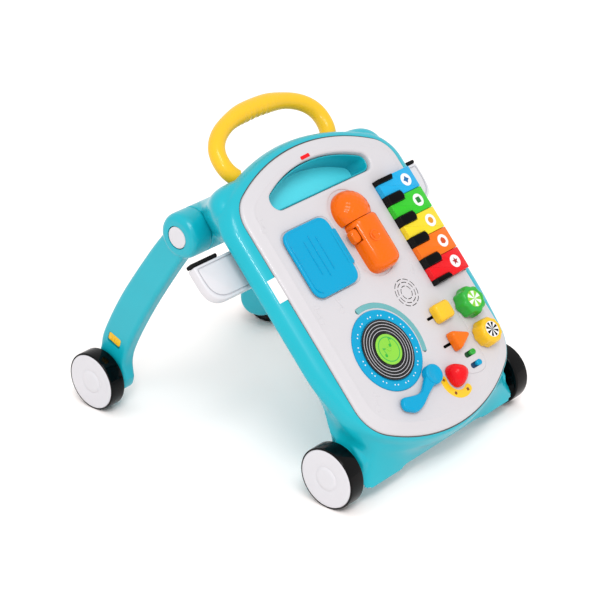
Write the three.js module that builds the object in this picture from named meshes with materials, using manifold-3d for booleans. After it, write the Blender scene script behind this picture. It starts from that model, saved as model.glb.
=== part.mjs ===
// Baby walker with a lift-off music station, fold-forward rear legs and two fold-out stand legs.
//
// Axes: X across the walker, the front at -Y, +Z up, the floor at z = 0. The plan below is written from
// the front axle (y = 0) and the whole walker is shifted once, at the end, to stand about the origin.
// The station lies in a sloped plane. Places on it are (u, v, n): u along X, v up the slope and n
// outward, square to the slope, with n = 0 on the station's face.
import * as THREE from 'three';
import { mergeVertices } from 'three/addons/utils/BufferGeometryUtils.js';
import Module from 'manifold-3d';

const wasm = await Module();
wasm.setup();

// ---------------------------------------------------------------- driving dimensions, mm
const DEPTH_CENTRE = 209.5;                   // from the front axle back to the middle of the depth
const GAP = 0.4;                              // running gap round every loose piece

const WHEEL = { radius: 44.4, inner: 172, outer: 200, seat: 38.2, cap: 42.2, hub: 11, axle: 4,
  bore: 4.3 };
const WHEELBASE = 451.85;

const PANEL = { tilt: 49.64, y: -47.46, z: 114.86 };
const STATION = { half: 159, topRadius: 286, topCorner: 45, bottomRadius: 249, bottomCorner: 60,
  top: 388, bottom: -51.5, split: -26, back: -42.5, wall: 2.6 };
const POCKET = { clearance: 1, floor: -43.5, wall: 3 };
const HATCH = { u: 118, v0: 60, v1: 285 };
const RAIL = { bulge: 24, topBulge: 15, bottomBulge: 8, back: -62, footHalf: 170.5, footBottom: -63,
  footDip: 5 };
const COLLAR = { gap: 1, wall: 2, top: -6.5 };
const CARRY = { corner: 14, cornerU: 88, cornerV: 329, archRadius: 212 };

const HUB = { y: 279.9, z: 309.5, radius: 33, inner: 64, seam: 136, outer: 172, pin: 8, pinEnd: 142 };
const LEG = { inner: 146, outer: 170, ankle: 24, bevel: 4 };
const LOCK = { radius: 16, depth: 22, travel: 4 };
const DRAG = { y: 425, z: 110.5, length: 24, width: 13, travel: 4, slope: 22.4 };
const HANDLE = { n: -41.5, centreV: 413.8, halfU: 105.4, halfV: 54.6, power: 2.24, radius: 12, grip: 14.5,
  end: -26 };
const STAND = { pin: 2.5, pinV: 254, pinN: -58, front: -50, back: -66, inner: 134,
  outer: 235, top: 303, pad: 6 };

const TABLE = { u: -59.4, v: 82.2, platter: 58.6, record: 43.5, label: 22 };
const WINDOW = { inner: 61.4, outer: 69.2, from: -23, to: 101 };
const KEYS = { u0: 82, u1: 154, v0: 127, pitch: 33.6, top: 9, bottom: -8, blackLength: 32, blackWidth: 14 };
const PAGE = { u0: -118, u1: -35, v0: 183, v1: 285, top: 6, bottom: 1, axisU: -121.5, axisN: 3.6, pin: 1.2 };
const MIC = { u: 14, v0: 178, seam: 257, headV: 272, headRadius: 31, half: 29, height: 25 };
const ARM = { u: -16, v: 23, disc: 14.5, bottom: 2.8, top: 10 };
const SLIDERS = { square: { u: 62, v: 91 }, triangle: { u: 62, v: 47 }, travel: 24, stem: 3.6, top: 16 };
const KNOBS = { green: { u: 116, v: 84, radius: 21.4, lobes: 8, wave: 1.2 },
  yellow: { u: 115, v: 35, radius: 20, lobes: 10, wave: 0.6 }, height: 22, shaft: 4 };
const SELECTOR = { u: 24, v: 6, radius: 17.2, lobes: 3, wave: 2, height: 22, shaft: 4 };
const SWITCHES = { u: 74, power: 22, volume: 5, length: 24, width: 9, nub: 11, travel: 11 };
const SPEAKER = { u: 29, v: 138, radius: 25 };

const COLOURS = { teal: 0x35c4d6, white: 0xeceaec, black: 0x1b1c20, yellow: 0xffc71e, blue: 0x0e9ade,
  orange: 0xf47a1c, red: 0xe6313b, green: 0x3fb54a, steel: 0xb9bcc0, board: 0x1d6b3a, window: 0x2f8f96 };

// ---------------------------------------------------------------- small helpers
const rad = THREE.MathUtils.degToRad;
const mix = THREE.MathUtils.lerp;
const step = (x, low, high) => THREE.MathUtils.smoothstep(x, low, high);
const SIDES = [['left', -1], ['right', 1]];

const panelMatrix = new THREE.Matrix4()
  .makeRotationX(rad(PANEL.tilt))
  .setPosition(0, PANEL.y, PANEL.z);

function material(colour, roughness = 0.35, metalness = 0) {
  return new THREE.MeshStandardMaterial({ color: COLOURS[colour], roughness, metalness });
}

// A geometry reduced to shared positions, with its faces turned outward.
function closed(geometry) {
  const bare = new THREE.BufferGeometry();
  const source = geometry.index ? geometry.toNonIndexed() : geometry;
  bare.setAttribute('position', source.getAttribute('position').clone());
  const merged = mergeVertices(bare, 1e-4);
  const p = merged.getAttribute('position');
  const index = Array.from(merged.index.array);
  const faces = [];
  let volume = 0;
  const [a, b, c] = [new THREE.Vector3(), new THREE.Vector3(), new THREE.Vector3()];
  for (let i = 0; i < index.length; i += 3) {
    const [ia, ib, ic] = index.slice(i, i + 3);
    if (ia === ib || ib === ic || ic === ia) continue;
    faces.push(ia, ib, ic);
    a.fromBufferAttribute(p, ia);
    b.fromBufferAttribute(p, ib);
    c.fromBufferAttribute(p, ic);
    volume += a.dot(b.cross(c));
  }
  if (volume < 0) faces.reverse();
  merged.setIndex(faces);
  return merged;
}

function solid(geometry) {
  const g = closed(geometry);
  return new wasm.Manifold(new wasm.Mesh({
    numProp: 3,
    vertProperties: new Float32Array(g.getAttribute('position').array),
    triVerts: new Uint32Array(g.index.array),
  }));
}

function geometryOf(manifold) {
  const mesh = manifold.getMesh();
  const g = new THREE.BufferGeometry();
  g.setAttribute('position', new THREE.BufferAttribute(new Float32Array(mesh.vertProperties), 3));
  g.setIndex(Array.from(mesh.triVerts));
  return g;
}

const join = (first, ...rest) => rest.reduce((sum, piece) => sum.add(piece), first);
const cut = (first, ...rest) => rest.reduce((left, piece) => left.subtract(piece), first);

function addTo(group, name, shape, look) {
  const geometry = shape.isBufferGeometry ? closed(shape) : geometryOf(shape);
  geometry.computeVertexNormals();
  const mesh = new THREE.Mesh(geometry, look);
  mesh.name = name;
  group.add(mesh);
  return mesh;
}

// Rings of equal point counts skinned one to the next, with a fan over each end.
function loft(rings) {
  const positions = [];
  const push = (...points) => points.forEach((q) => positions.push(q.x, q.y, q.z));
  const count = rings[0].length;
  for (let r = 0; r + 1 < rings.length; r++) {
    for (let i = 0; i < count; i++) {
      const j = (i + 1) % count;
      push(rings[r][i], rings[r][j], rings[r + 1][j]);
      push(rings[r][i], rings[r + 1][j], rings[r + 1][i]);
    }
  }
  const centre = (ring) => ring.reduce((s, q) => s.add(q), new THREE.Vector3()).divideScalar(count);
  const [first, last] = [rings[0], rings[rings.length - 1]];
  const [c0, c1] = [centre(first), centre(last)];
  for (let i = 0; i < count; i++) {
    const j = (i + 1) % count;
    push(c0, first[j], first[i]);
    push(c1, last[i], last[j]);
  }
  const g = new THREE.BufferGeometry();
  g.setAttribute('position', new THREE.Float32BufferAttribute(positions, 3));
  return g;
}

// A closed loop of (x, y) points as a slab from z0 to z1.
function slab(points, z0, z1) {
  const g = new THREE.ExtrudeGeometry(new THREE.Shape(points), { depth: z1 - z0, bevelEnabled: false });
  return g.translate(0, 0, z0);
}

function roundedRect(x0, x1, y0, y1, radius, segments = 4) {
  const points = [];
  const corners = [[x1, y1, 0], [x0, y1, 90], [x0, y0, 180], [x1, y0, 270]];
  for (const [x, y, start] of corners) {
    const cx = x + (x === x1 ? -radius : radius);
    const cy = y + (y === y1 ? -radius : radius);
    for (let i = 0; i <= segments; i++) {
      const a = rad(start + (90 * i) / segments);
      points.push(new THREE.Vector2(cx + radius * Math.cos(a), cy + radius * Math.sin(a)));
    }
  }
  return points;
}

function box(x0, x1, y0, y1, z0, z1) {
  return new THREE.BoxGeometry(x1 - x0, y1 - y0, z1 - z0)
    .translate((x0 + x1) / 2, (y0 + y1) / 2, (z0 + z1) / 2);
}

// A cylinder standing along n (local Z), and one lying along X.
function post(radius, u, v, n0, n1, segments = 24) {
  return new THREE.CylinderGeometry(radius, radius, n1 - n0, segments)
    .rotateX(Math.PI / 2)
    .translate(u, v, (n0 + n1) / 2);
}

function rod(radius, x0, x1, y, z, segments = 24) {
  return new THREE.CylinderGeometry(radius, radius, Math.abs(x1 - x0), segments)
    .rotateZ(-Math.PI / 2)
    .translate((x0 + x1) / 2, y, z);
}

// An outline in (Y, Z) extruded along X.
const alongX = new THREE.Matrix4().makeBasis(
  new THREE.Vector3(0, 1, 0), new THREE.Vector3(0, 0, 1), new THREE.Vector3(1, 0, 0));

function slabAcross(shape, x0, x1, options = {}) {
  const g = new THREE.ExtrudeGeometry(shape, { depth: x1 - x0, bevelEnabled: false, ...options });
  return g.applyMatrix4(alongX).translate(x0, 0, 0);
}

// ---------------------------------------------------------------- the station's outline
// Points round the outline, each with its outward direction, so that any offset is a sum.
function outlinePoints() {
  const s = STATION;
  const topV = s.top - s.topRadius;
  const bottomV = s.bottom + s.bottomRadius;
  const cornerHeight = (radius, corner) => Math.sqrt((radius - corner) ** 2 - (s.half - corner) ** 2);
  const topCornerV = topV + cornerHeight(s.topRadius, s.topCorner);
  const bottomCornerV = bottomV - cornerHeight(s.bottomRadius, s.bottomCorner);
  const topAngle = Math.atan2(topCornerV - topV, s.half - s.topCorner);
  const bottomAngle = Math.atan2(bottomV - bottomCornerV, s.half - s.bottomCorner);
  const points = [];
  const arc = (u, v, radius, from, to, count) => {
    for (let i = 0; i < count; i++) {
      const a = mix(from, to, i / count);
      const [x, y] = [Math.cos(a), Math.sin(a)];
      points.push({ u: u + radius * x, v: v + radius * y, x, y });
    }
  };
  const side = (sign, from, to, count) => {
    for (let i = 0; i < count; i++) {
      points.push({ u: sign * s.half, v: mix(from, to, i / count), x: sign, y: 0 });
    }
  };
  arc(0, bottomV, s.bottomRadius, bottomAngle - Math.PI, -bottomAngle, 8);
  arc(s.half - s.bottomCorner, bottomCornerV, s.bottomCorner, -bottomAngle, 0, 5);
  side(1, bottomCornerV, topCornerV, 5);
  arc(s.half - s.topCorner, topCornerV, s.topCorner, 0, topAngle, 5);
  arc(0, topV, s.topRadius, topAngle, Math.PI - topAngle, 8);
  arc(s.topCorner - s.half, topCornerV, s.topCorner, Math.PI - topAngle, Math.PI, 5);
  side(-1, topCornerV, bottomCornerV, 5);
  arc(s.bottomCorner - s.half, bottomCornerV, s.bottomCorner, Math.PI, Math.PI + bottomAngle, 5);
  return points;
}
const OUTLINE = outlinePoints();

// The ring at depth n, pushed out by a number or by a function of the outline point.
function ring(n, out) {
  const push = typeof out === 'function' ? out : () => out;
  return OUTLINE.map((p) => {
    const e = push(p);
    return new THREE.Vector3(p.u + e * p.x, p.v + e * p.y, n);
  });
}

function carryHole(grow) {
  const { corner, cornerU, cornerV, archRadius } = CARRY;
  const archV = cornerV - Math.sqrt((archRadius - corner) ** 2 - cornerU ** 2);
  const join1 = Math.atan2(cornerV - archV, cornerU);
  const points = [];
  const arc = (u, v, radius, from, to, count) => {
    for (let i = 0; i <= count; i++) {
      const a = mix(from, to, i / count);
      points.push(new THREE.Vector2(u + (radius + grow) * Math.cos(a), v + (radius + grow) * Math.sin(a)));
    }
  };
  arc(cornerU, cornerV, corner, -Math.PI / 2, join1, 5);
  arc(0, archV, archRadius, join1, Math.PI - join1, 6);
  arc(-cornerU, cornerV, corner, Math.PI - join1, 1.5 * Math.PI, 5);
  return points;
}

// ---------------------------------------------------------------- front frame
// Share of the rail's bulge at each depth: a rounded lip, a full side and a tucked-in back.
const RAIL_SECTIONS = [[-7, 0.07], [-8.4, 0.3], [-12, 0.6], [-20, 0.87], [-30, 1], [-38, 0.72],
  [-47, 0.32], [-55, 0.03], [RAIL.back, -0.25]];

function railBulge(v) {
  const low = mix(RAIL.bottomBulge, RAIL.bulge, step(v, -20, 110));
  return mix(low, RAIL.topBulge, step(v, 310, 385));
}

// How far the outline moves out to reach the squared-off foot at the bottom of the frame. The bottom
// edge dips at each side, where the feet are.
function footReach(p) {
  const far = 1e3;
  const sideways = Math.abs(p.x) > 0.02 ? (RAIL.footHalf - Math.abs(p.u)) / Math.abs(p.x) : far;
  const level = p.y < -0.02 ? (p.v - RAIL.footBottom) / -p.y : far;
  const side = Math.abs(p.u) + Math.abs(p.x) * Math.min(level, far);
  const down = level + RAIL.footDip * step(side, 55, 125) * (1 - 0.6 * step(side, 140, 175));
  const softness = 6;
  const corner = -softness * Math.log(Math.exp(-sideways / softness) + Math.exp(-down / softness));
  return mix(corner, -2, step(p.v, 25, 80));
}

function railOut(n, share) {
  const flare = THREE.MathUtils.clamp((-n - 18) / (-RAIL.back - 18), 0, 1) ** 1.7;
  return (p) => {
    const rail = share * railBulge(p.v);
    const low = 1 - step(p.v, 15, 85);
    return mix(rail, footReach(p), flare * low);
  };
}

function railBody() {
  return loft(RAIL_SECTIONS.map(([n, share]) => ring(n, railOut(n, share))));
}

// Shoulders that run back from the top corners to the hubs: [n, centre u, centre v, half u, half v].
const SHOULDER = [[-20, 116, 340, 50, 38], [-30, 118, 341, 54, 42], [-42, 116, 342, 54, 43],
  [-56, 112, 343, 51, 42], [-70, 107, 347, 46, 37], [-84, 103, 352, 41, 34], [-98, 100, 356, 37, 33],
  [-123.5, 98, 360.4, 35, 33]];

function shoulder(sign, wall) {
  const stations = wall ? SHOULDER.slice(1, 6) : SHOULDER;
  const count = wall ? 16 : 22;
  const power = 2 / 2.6;
  const bend = (x) => Math.sign(x) * Math.abs(x) ** power;
  return loft(stations.map(([n, u, v, a, b]) => Array.from({ length: count }, (_, i) => {
    const t = (2 * Math.PI * i) / count;
    const across = u + (a - wall) * bend(Math.cos(t));
    return new THREE.Vector3(sign * across, v + (b - wall) * bend(Math.sin(t)), n);
  })));
}

// Feet that carry the front axle, drawn in (Y, Z), with a boss that runs out to each wheel.
const FOOT = { inner: 122, outer: 156, boss: 19 };

function footProfile() {
  const shape = new THREE.Shape();
  const r = FOOT.boss;
  shape.moveTo(-36, 30);
  shape.lineTo(-10, WHEEL.radius - r);
  shape.absarc(0, WHEEL.radius, r, -Math.PI / 2, 0, false);
  shape.quadraticCurveTo(22, 90, 36, 121);
  shape.lineTo(4, 112);
  shape.lineTo(-34, 62);
  return shape;
}

// The handle's tube follows a superellipse above the shoulders and swells to a grip at its middle.
function handleTube(grow, sides = 12) {
  const h = HANDLE;
  const steps = 24;
  const bend = (x) => Math.sign(x) * Math.abs(x) ** (2 / h.power);
  const at = (t) =>
    new THREE.Vector3(h.halfU * bend(Math.cos(t)), h.centreV + h.halfV * bend(Math.sin(t)), h.n);
  const rings = Array.from({ length: steps + 1 }, (_, i) => {
    const t = mix(rad(h.end), Math.PI - rad(h.end), i / steps);
    const centre = at(t);
    const along = at(t + 0.01).sub(at(t - 0.01)).normalize();
    const out = new THREE.Vector3(along.y, -along.x, 0);
    const radius = mix(h.radius, h.grip, 1 - step(Math.abs(centre.x), 20, 62)) + grow;
    return Array.from({ length: sides }, (__, k) => {
      const a = (2 * Math.PI * k) / sides;
      const point = centre.clone().addScaledVector(out, radius * Math.cos(a));
      return point.setZ(h.n + radius * Math.sin(a));
    });
  });
  return loft(rings);
}

// The notch behind each rail that the folded stand leg lies in.
function standNotch(sign, grow) {
  const span = [sign * (STAND.inner - 5 - grow), sign * 210].sort((a, b) => a - b);
  return box(...span, 240 - grow, 313 + grow, -90, STAND.front + 1.2 + grow);
}

// The hollow inside the rail and the shoulders, one wall inside the skin, behind the pocket and round
// the notches. Where the rail is too slim for a hollow, the skin and the pocket's wall are one.
function frameHollow() {
  const edge = POCKET.clearance + POCKET.wall;
  const depths = [[-16, 0.7], [-30, 0.95], [-47, 0.28], [RAIL.back + POCKET.wall, -0.2]];
  const rail = loft(depths.map(([n, share]) => {
    const out = railOut(n, share);
    return ring(n, (p) => {
      const inside = out(p) - POCKET.wall;
      return inside > edge + 2 ? inside : Math.min(edge - 3, inside);
    });
  }));
  const pocketWall = loft([ring(POCKET.floor - POCKET.wall, edge), ring(5, edge)]);
  const keep = SIDES.map(([, sign]) => solid(standNotch(sign, POCKET.wall)));
  const shoulders = SIDES.map(([, sign]) => solid(shoulder(sign, 4)));
  return cut(join(solid(rail), ...shoulders), solid(pocketWall), ...keep);
}

function frontFrame() {
  const inPanel = (shape) => solid(shape.applyMatrix4(panelMatrix));
  const edge = POCKET.clearance;
  const pinAt = new THREE.Vector3(0, STAND.pinV, STAND.pinN).applyMatrix4(panelMatrix);
  const skin = [inPanel(railBody())];
  const cuts = [
    inPanel(loft([ring(POCKET.floor, edge), ring(5, edge)])),
    inPanel(geometryOf(frameHollow())),
    inPanel(slab(roundedRect(-HATCH.u + 6, HATCH.u - 6, HATCH.v0 + 6, HATCH.v1 - 6, 8, 3), -64, -56)),
    inPanel(slab(roundedRect(-HATCH.u, HATCH.u, HATCH.v0, HATCH.v1, 14, 3), -64, RAIL.back + 1.6)),
    inPanel(handleTube(GAP + 0.3)),
    solid(rod(WHEEL.bore, -190, 190, 0, WHEEL.radius, 16)),
  ];
  for (const [, sign] of SIDES) {
    const foot = [sign * FOOT.inner, sign * FOOT.outer].sort((a, b) => a - b);
    const pinEnds = [sign * (STAND.inner - 12), sign * (STAND.inner + 60)];
    skin.push(inPanel(shoulder(sign, 0)), solid(slabAcross(footProfile(), ...foot, { curveSegments: 4 })),
      solid(rod(FOOT.boss, sign * FOOT.inner, sign * RAIL.footHalf, 0, WHEEL.radius, 16)),
      solid(rod(HUB.radius, sign * HUB.inner, sign * HUB.seam, HUB.y, HUB.z)));
    cuts.push(inPanel(standNotch(sign, 0)), solid(rod(STAND.pin + GAP, ...pinEnds, pinAt.y, pinAt.z, 12)),
      solid(rod(HUB.radius + 1.2, sign * HUB.seam, sign * 190, HUB.y, HUB.z)),
      solid(rod(HUB.pin + GAP, sign * 70, sign * (HUB.seam + 5), HUB.y, HUB.z, 16)));
  }
  return join(cut(join(...skin), ...cuts), inPanel(geometryOf(openingCollar())));
}

// The collar that stands on the pocket's floor and lines the station's carry opening.
function openingCollar() {
  const foot = POCKET.floor - 1;
  return cut(solid(slab(carryHole(-COLLAR.gap), foot, COLLAR.top)),
    solid(slab(carryHole(-COLLAR.gap - COLLAR.wall), foot - 1, COLLAR.top + 1)));
}

// The cover that closes the back of the frame: a flange in the recess and a plug in the opening.
function backCover() {
  const { u, v0, v1 } = HATCH;
  const plate = (inset, radius, depth) =>
    slab(roundedRect(-u + inset, u - inset, v0 + inset, v1 - inset, radius, 3), RAIL.back, RAIL.back + depth);
  return join(solid(plate(GAP, 14 - GAP, 1.2)), solid(plate(6 + GAP, 8 - GAP, 3.4)));
}

// ---------------------------------------------------------------- wheels and axles
// Wheel profiles run from the outer face, measured outward along the axle from the walker's middle. The
// tyre has a web that closes the inner side round the hub.
function wheelCore() {
  const w = WHEEL;
  const face = w.outer;
  const profile = [[0, face], [17, face], [w.cap - 2, face - 0.6], [w.cap, face - 2.4], [w.cap, face - 4.4],
    [w.seat, face - 4.4], [w.seat, w.inner + 4], [w.seat - 3, w.inner + 4], [w.seat - 3, face - 8],
    [w.hub, face - 8], [w.hub, w.inner + 1.5], [w.bore, w.inner + 1.5], [w.bore, face - 5], [0, face - 5]];
  return new THREE.LatheGeometry(profile.map(([r, x]) => new THREE.Vector2(r, x)), 22).rotateZ(-Math.PI / 2);
}

function tyre() {
  const w = WHEEL;
  const seat = w.seat + GAP;
  const hub = w.hub + GAP;
  const profile = [[hub, w.inner + 0.6], [w.radius - 3, w.inner], [w.radius, w.inner + 4],
    [w.radius, w.outer - 4], [w.cap + GAP, w.outer - 1.6], [w.cap + GAP, w.outer - 4.8],
    [seat, w.outer - 4.8], [seat, w.inner + 3.6], [hub, w.inner + 3.6], [hub, w.inner + 0.6]];
  return new THREE.LatheGeometry(profile.map(([r, x]) => new THREE.Vector2(r, x)), 26).rotateZ(-Math.PI / 2);
}

function addWheel(group, name, sign, y) {
  for (const [piece, shape, look] of [['tyre', tyre(), material('black', 0.55)],
    ['wheel', wheelCore(), material('white', 0.3)]]) {
    if (sign < 0) shape.rotateZ(Math.PI);
    addTo(group, `${name}_${piece}`, shape.translate(0, y, WHEEL.radius), look);
  }
}

// ---------------------------------------------------------------- rear legs
function legOutline() {
  const at = (y, z) => new THREE.Vector2(y, z);
  const shape = new THREE.Shape();
  const lowest = WHEEL.radius - LEG.ankle;
  shape.moveTo(WHEELBASE, lowest);
  shape.absarc(WHEELBASE, WHEEL.radius, LEG.ankle, -Math.PI / 2, rad(40), false);
  shape.splineThru([at(460, 87), at(448, 120), at(405, 189), at(341, 272), at(303, 318)]);
  shape.lineTo(256, 292);
  shape.splineThru([at(306, 239), at(355, 172), at(396, 108), at(411, 74), at(411, 46)]);
  shape.quadraticCurveTo(416, 30, 434, 24);
  return shape;
}

// The drag switch and its slot lie across the leg: a slab turned to the leg's own direction.
function acrossLeg(length, width, slide, x0, x1) {
  const points = roundedRect(-length / 2, length / 2, -width / 2 - slide, width / 2, 3, 2);
  const g = slabAcross(new THREE.Shape(points), Math.min(x0, x1), Math.max(x0, x1));
  return g.rotateX(rad(DRAG.slope)).translate(0, DRAG.y, DRAG.z);
}

function rearLeg(sign) {
  const span = sign < 0 ? [-LEG.outer, -LEG.inner] : [LEG.inner, LEG.outer];
  const b = LEG.bevel;
  const bevels = { bevelThickness: b, bevelSize: b, bevelOffset: -b, bevelSegments: 1 };
  const plate = slabAcross(legOutline(), span[0] + b, span[1] - b,
    { bevelEnabled: true, curveSegments: 2, ...bevels });
  const r = HUB.radius;
  const profile = [[0, HUB.seam + GAP], [r, HUB.seam + GAP], [r, HUB.outer - 14], [r - 2, HUB.outer - 5],
    [r - 7, HUB.outer], [0, HUB.outer]];
  const barrel = new THREE.LatheGeometry(profile.map(([x, y]) => new THREE.Vector2(x, y)), 24)
    .rotateZ(-sign * Math.PI / 2)
    .translate(0, HUB.y, HUB.z);
  const x = (value) => sign * value;
  const recess = HUB.outer - LOCK.depth - LOCK.travel - 2;
  return cut(join(solid(plate), solid(barrel)),
    solid(rod(LOCK.radius + 1, x(recess), x(HUB.outer + 5), HUB.y, HUB.z, 20)),
    solid(rod(HUB.pin + GAP, x(HUB.seam - 5), x(HUB.pinEnd + 1), HUB.y, HUB.z, 16)),
    solid(rod(WHEEL.bore, x(LEG.inner + 3), x(LEG.outer + 8), WHEELBASE, WHEEL.radius, 16)),
    solid(acrossLeg(DRAG.length + 2 * GAP, DRAG.width + 2 * GAP, DRAG.travel,
      x(LEG.outer - 7), x(LEG.outer + 5))));
}

function lockButton(sign) {
  const inner = HUB.outer - LOCK.depth;
  const top = HUB.outer + 0.6;
  const r = LOCK.radius;
  const profile = [[0, inner], [r, inner], [r, top - 1.6], [r - 1.4, top], [0, top]];
  return new THREE.LatheGeometry(profile.map(([x, y]) => new THREE.Vector2(x, y)), 20)
    .rotateZ(-sign * Math.PI / 2)
    .translate(0, HUB.y, HUB.z);
}

// ---------------------------------------------------------------- stand legs
function standLeg(sign) {
  const s = STAND;
  const r = (s.front - s.back) / 2;
  const profile = new THREE.Shape();                  // in (v, n), round at the pin
  profile.moveTo(s.top, s.front);
  profile.lineTo(s.pinV, s.front);
  profile.absarc(s.pinV, s.pinN, r, Math.PI / 2, 1.5 * Math.PI, false);
  profile.lineTo(s.top, s.back);
  const body = slabAcross(profile, s.inner, s.outer, { curveSegments: 6 });
  const outline = new THREE.Shape();
  outline.moveTo(s.inner, 200);
  outline.lineTo(196, 200);
  outline.lineTo(196, s.pinV - r);
  outline.quadraticCurveTo(s.outer - 14, s.pinV - r + 2, s.outer - 4, s.pinV + 8);
  outline.quadraticCurveTo(s.outer, s.pinV + 14, s.outer, s.pinV + 24);
  outline.lineTo(s.outer, 400);
  outline.lineTo(s.inner, 400);
  const mask = new THREE.ExtrudeGeometry(outline, { depth: 30, bevelEnabled: false, curveSegments: 5 });
  const shape = cut(solid(body).intersect(solid(mask.translate(0, 0, -75))),
    solid(rod(STAND.pin + GAP, s.inner - 5, s.inner + 50, s.pinV, s.pinN, 12)));
  return sign < 0 ? shape.mirror([1, 0, 0]) : shape;
}

function standPad(sign) {
  const s = STAND;
  const points = roundedRect(s.back + 1, s.front - 1, s.top + GAP, s.top + s.pad, 2.5, 3)
    .map((p) => new THREE.Vector2(p.y, p.x));
  const span = [sign * (s.outer - 47), sign * (s.outer - 1)].sort((a, b) => a - b);
  return slabAcross(new THREE.Shape(points), ...span);
}

// ---------------------------------------------------------------- station shells
const keyCount = 5;
const keyTop = KEYS.v0 + keyCount * KEYS.pitch;

function arcBand(inner, outer, from, to, n0, n1) {
  const shape = new THREE.Shape();
  shape.absarc(TABLE.u, TABLE.v, outer, rad(from), rad(to), false);
  shape.absarc(TABLE.u, TABLE.v, inner, rad(to), rad(from), true);
  return new THREE.ExtrudeGeometry(shape, { depth: n1 - n0, bevelEnabled: false, curveSegments: 9 })
    .translate(0, 0, n0);
}

function pill(u0, u1, v, radius, n0, n1) {
  return slab(roundedRect(u0, u1, v - radius, v + radius, radius - 0.01, 4), n0, n1);
}

function faceHoles() {
  const deep = -12;
  const half = SLIDERS.stem + 0.6;
  const holes = [
    slab(roundedRect(KEYS.u0 - 1.5, KEYS.u1 + 1.6, KEYS.v0 - 1, keyTop + 1, 2, 2), deep, 5),
    post(TABLE.platter + 0.7, TABLE.u, TABLE.v, deep, 5, 36),
    arcBand(WINDOW.inner - 0.3, WINDOW.outer + 0.3, WINDOW.from - 0.3, WINDOW.to + 0.3, deep, 5),
    post(4, ARM.u, ARM.v, deep, 5, 12),
    post(KNOBS.shaft + 0.5, KNOBS.green.u, KNOBS.green.v, deep, 5, 12),
    post(KNOBS.shaft + 0.5, KNOBS.yellow.u, KNOBS.yellow.v, deep, 5, 12),
    post(SELECTOR.shaft + 0.5, SELECTOR.u, SELECTOR.v, deep, 5, 12),
  ];
  for (const { u, v } of [SLIDERS.square, SLIDERS.triangle]) {
    holes.push(pill(u - SLIDERS.travel - half, u + half, v, half, deep, 5));
  }
  for (const v of [SWITCHES.power, SWITCHES.volume]) {
    const reach = SWITCHES.length / 2;
    holes.push(pill(SWITCHES.u - reach, SWITCHES.u + reach, v, SWITCHES.width / 2, deep, 5));
  }
  return holes.map(solid);
}

// Two lugs that hold the page's hinge pin.
function pageLugs() {
  return [[PAGE.v0 - 1, PAGE.v0 + 4], [PAGE.v1 - 4, PAGE.v1 + 1]].map(([v0, v1]) =>
    solid(box(PAGE.axisU - 3, PAGE.axisU + 3, v0, v1, -1, PAGE.axisN + 2.6)));
}

function frontShell() {
  const s = STATION;
  const outer = solid(loft([ring(s.split, 0), ring(-8, 0), ring(-2.6, -3), ring(0, -9)]));
  const inner = solid(loft([ring(s.split - 1, -s.wall), ring(-8, -s.wall), ring(-s.wall, -9)]));
  const tube = solid(slab(carryHole(s.wall), s.split, -1));
  const shell = join(cut(outer, inner), tube, ...pageLugs());
  const pin = new THREE.CylinderGeometry(PAGE.pin + 0.3, PAGE.pin + 0.3, PAGE.v1 - PAGE.v0 + 10, 8)
    .translate(PAGE.axisU, (PAGE.v0 + PAGE.v1) / 2, PAGE.axisN);
  return cut(shell, solid(slab(carryHole(0), -60, 8)), ...faceHoles(), solid(pin));
}

const DOOR = { u: 48, v0: 128, v1: 188 };

function backShell() {
  const s = STATION;
  const top = s.split - GAP;
  const outer = solid(loft([ring(s.back, -4), ring(s.back + 5, 0), ring(top, 0)]));
  const inner = solid(loft([ring(s.back + s.wall, -5), ring(s.back + 6, -s.wall), ring(top + 1, -s.wall)]));
  const tube = solid(slab(carryHole(s.wall), s.back, top));
  const boss = solid(post(8, TABLE.u, TABLE.v, s.back + 1, -12, 16));
  const doorHole = slab(roundedRect(-DOOR.u, DOOR.u, DOOR.v0, DOOR.v1, 4, 2), s.back - 1, s.back + 5);
  return cut(join(cut(outer, inner), tube, boss), solid(slab(carryHole(0), -60, 8)), solid(doorHole),
    solid(post(3.4, TABLE.u, TABLE.v, -34, 0, 12)));
}

function batteryDoor() {
  const points = roundedRect(-DOOR.u + GAP, DOOR.u - GAP, DOOR.v0 + GAP, DOOR.v1 - GAP, 4, 2);
  return cut(solid(slab(points, STATION.back, STATION.back + 2.4)),
    solid(post(2.4, 0, DOOR.v1 - 6, STATION.back - 1, STATION.back + 4, 12)));
}

// ---------------------------------------------------------------- controls on the station
// A colour key: a block with a notch at each inner corner for the black keys.
function colourKey(index) {
  const k = KEYS;
  const v0 = k.v0 + index * k.pitch + 0.3;
  const v1 = v0 + k.pitch - 0.6;
  const notch = k.blackWidth / 2 + 0.4 - 0.3;
  const u = k.u0 + k.blackLength + 0.6;
  const corners = [[k.u0, v0 + notch], [u, v0 + notch], [u, v0], [k.u1, v0], [k.u1, v1], [u, v1],
    [u, v1 - notch], [k.u0, v1 - notch]];
  const points = corners.map(([x, y]) => new THREE.Vector2(x, y));
  return slab(points, k.bottom, k.top);
}

function blackKeys() {
  const k = KEYS;
  const under = k.bottom - 3;
  let block = solid(box(k.u0, k.u0 + k.blackLength, k.v0, keyTop, under - 5, under));
  for (let i = 0; i <= keyCount; i++) {
    const v = k.v0 + i * k.pitch;
    const v0 = Math.max(k.v0, v - k.blackWidth / 2);
    const v1 = Math.min(keyTop, v + k.blackWidth / 2);
    block = block.add(solid(box(k.u0, k.u0 + k.blackLength, v0, v1, under - 2, k.top + 3)));
  }
  return block;
}

function wavy(radius, lobes, wave, scale, n, count, u, v) {
  return Array.from({ length: count }, (_, i) => {
    const t = (2 * Math.PI * i) / count;
    const r = (radius + wave * Math.cos(lobes * t)) * scale;
    return new THREE.Vector3(u + r * Math.cos(t), v + r * Math.sin(t), n);
  });
}

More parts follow.
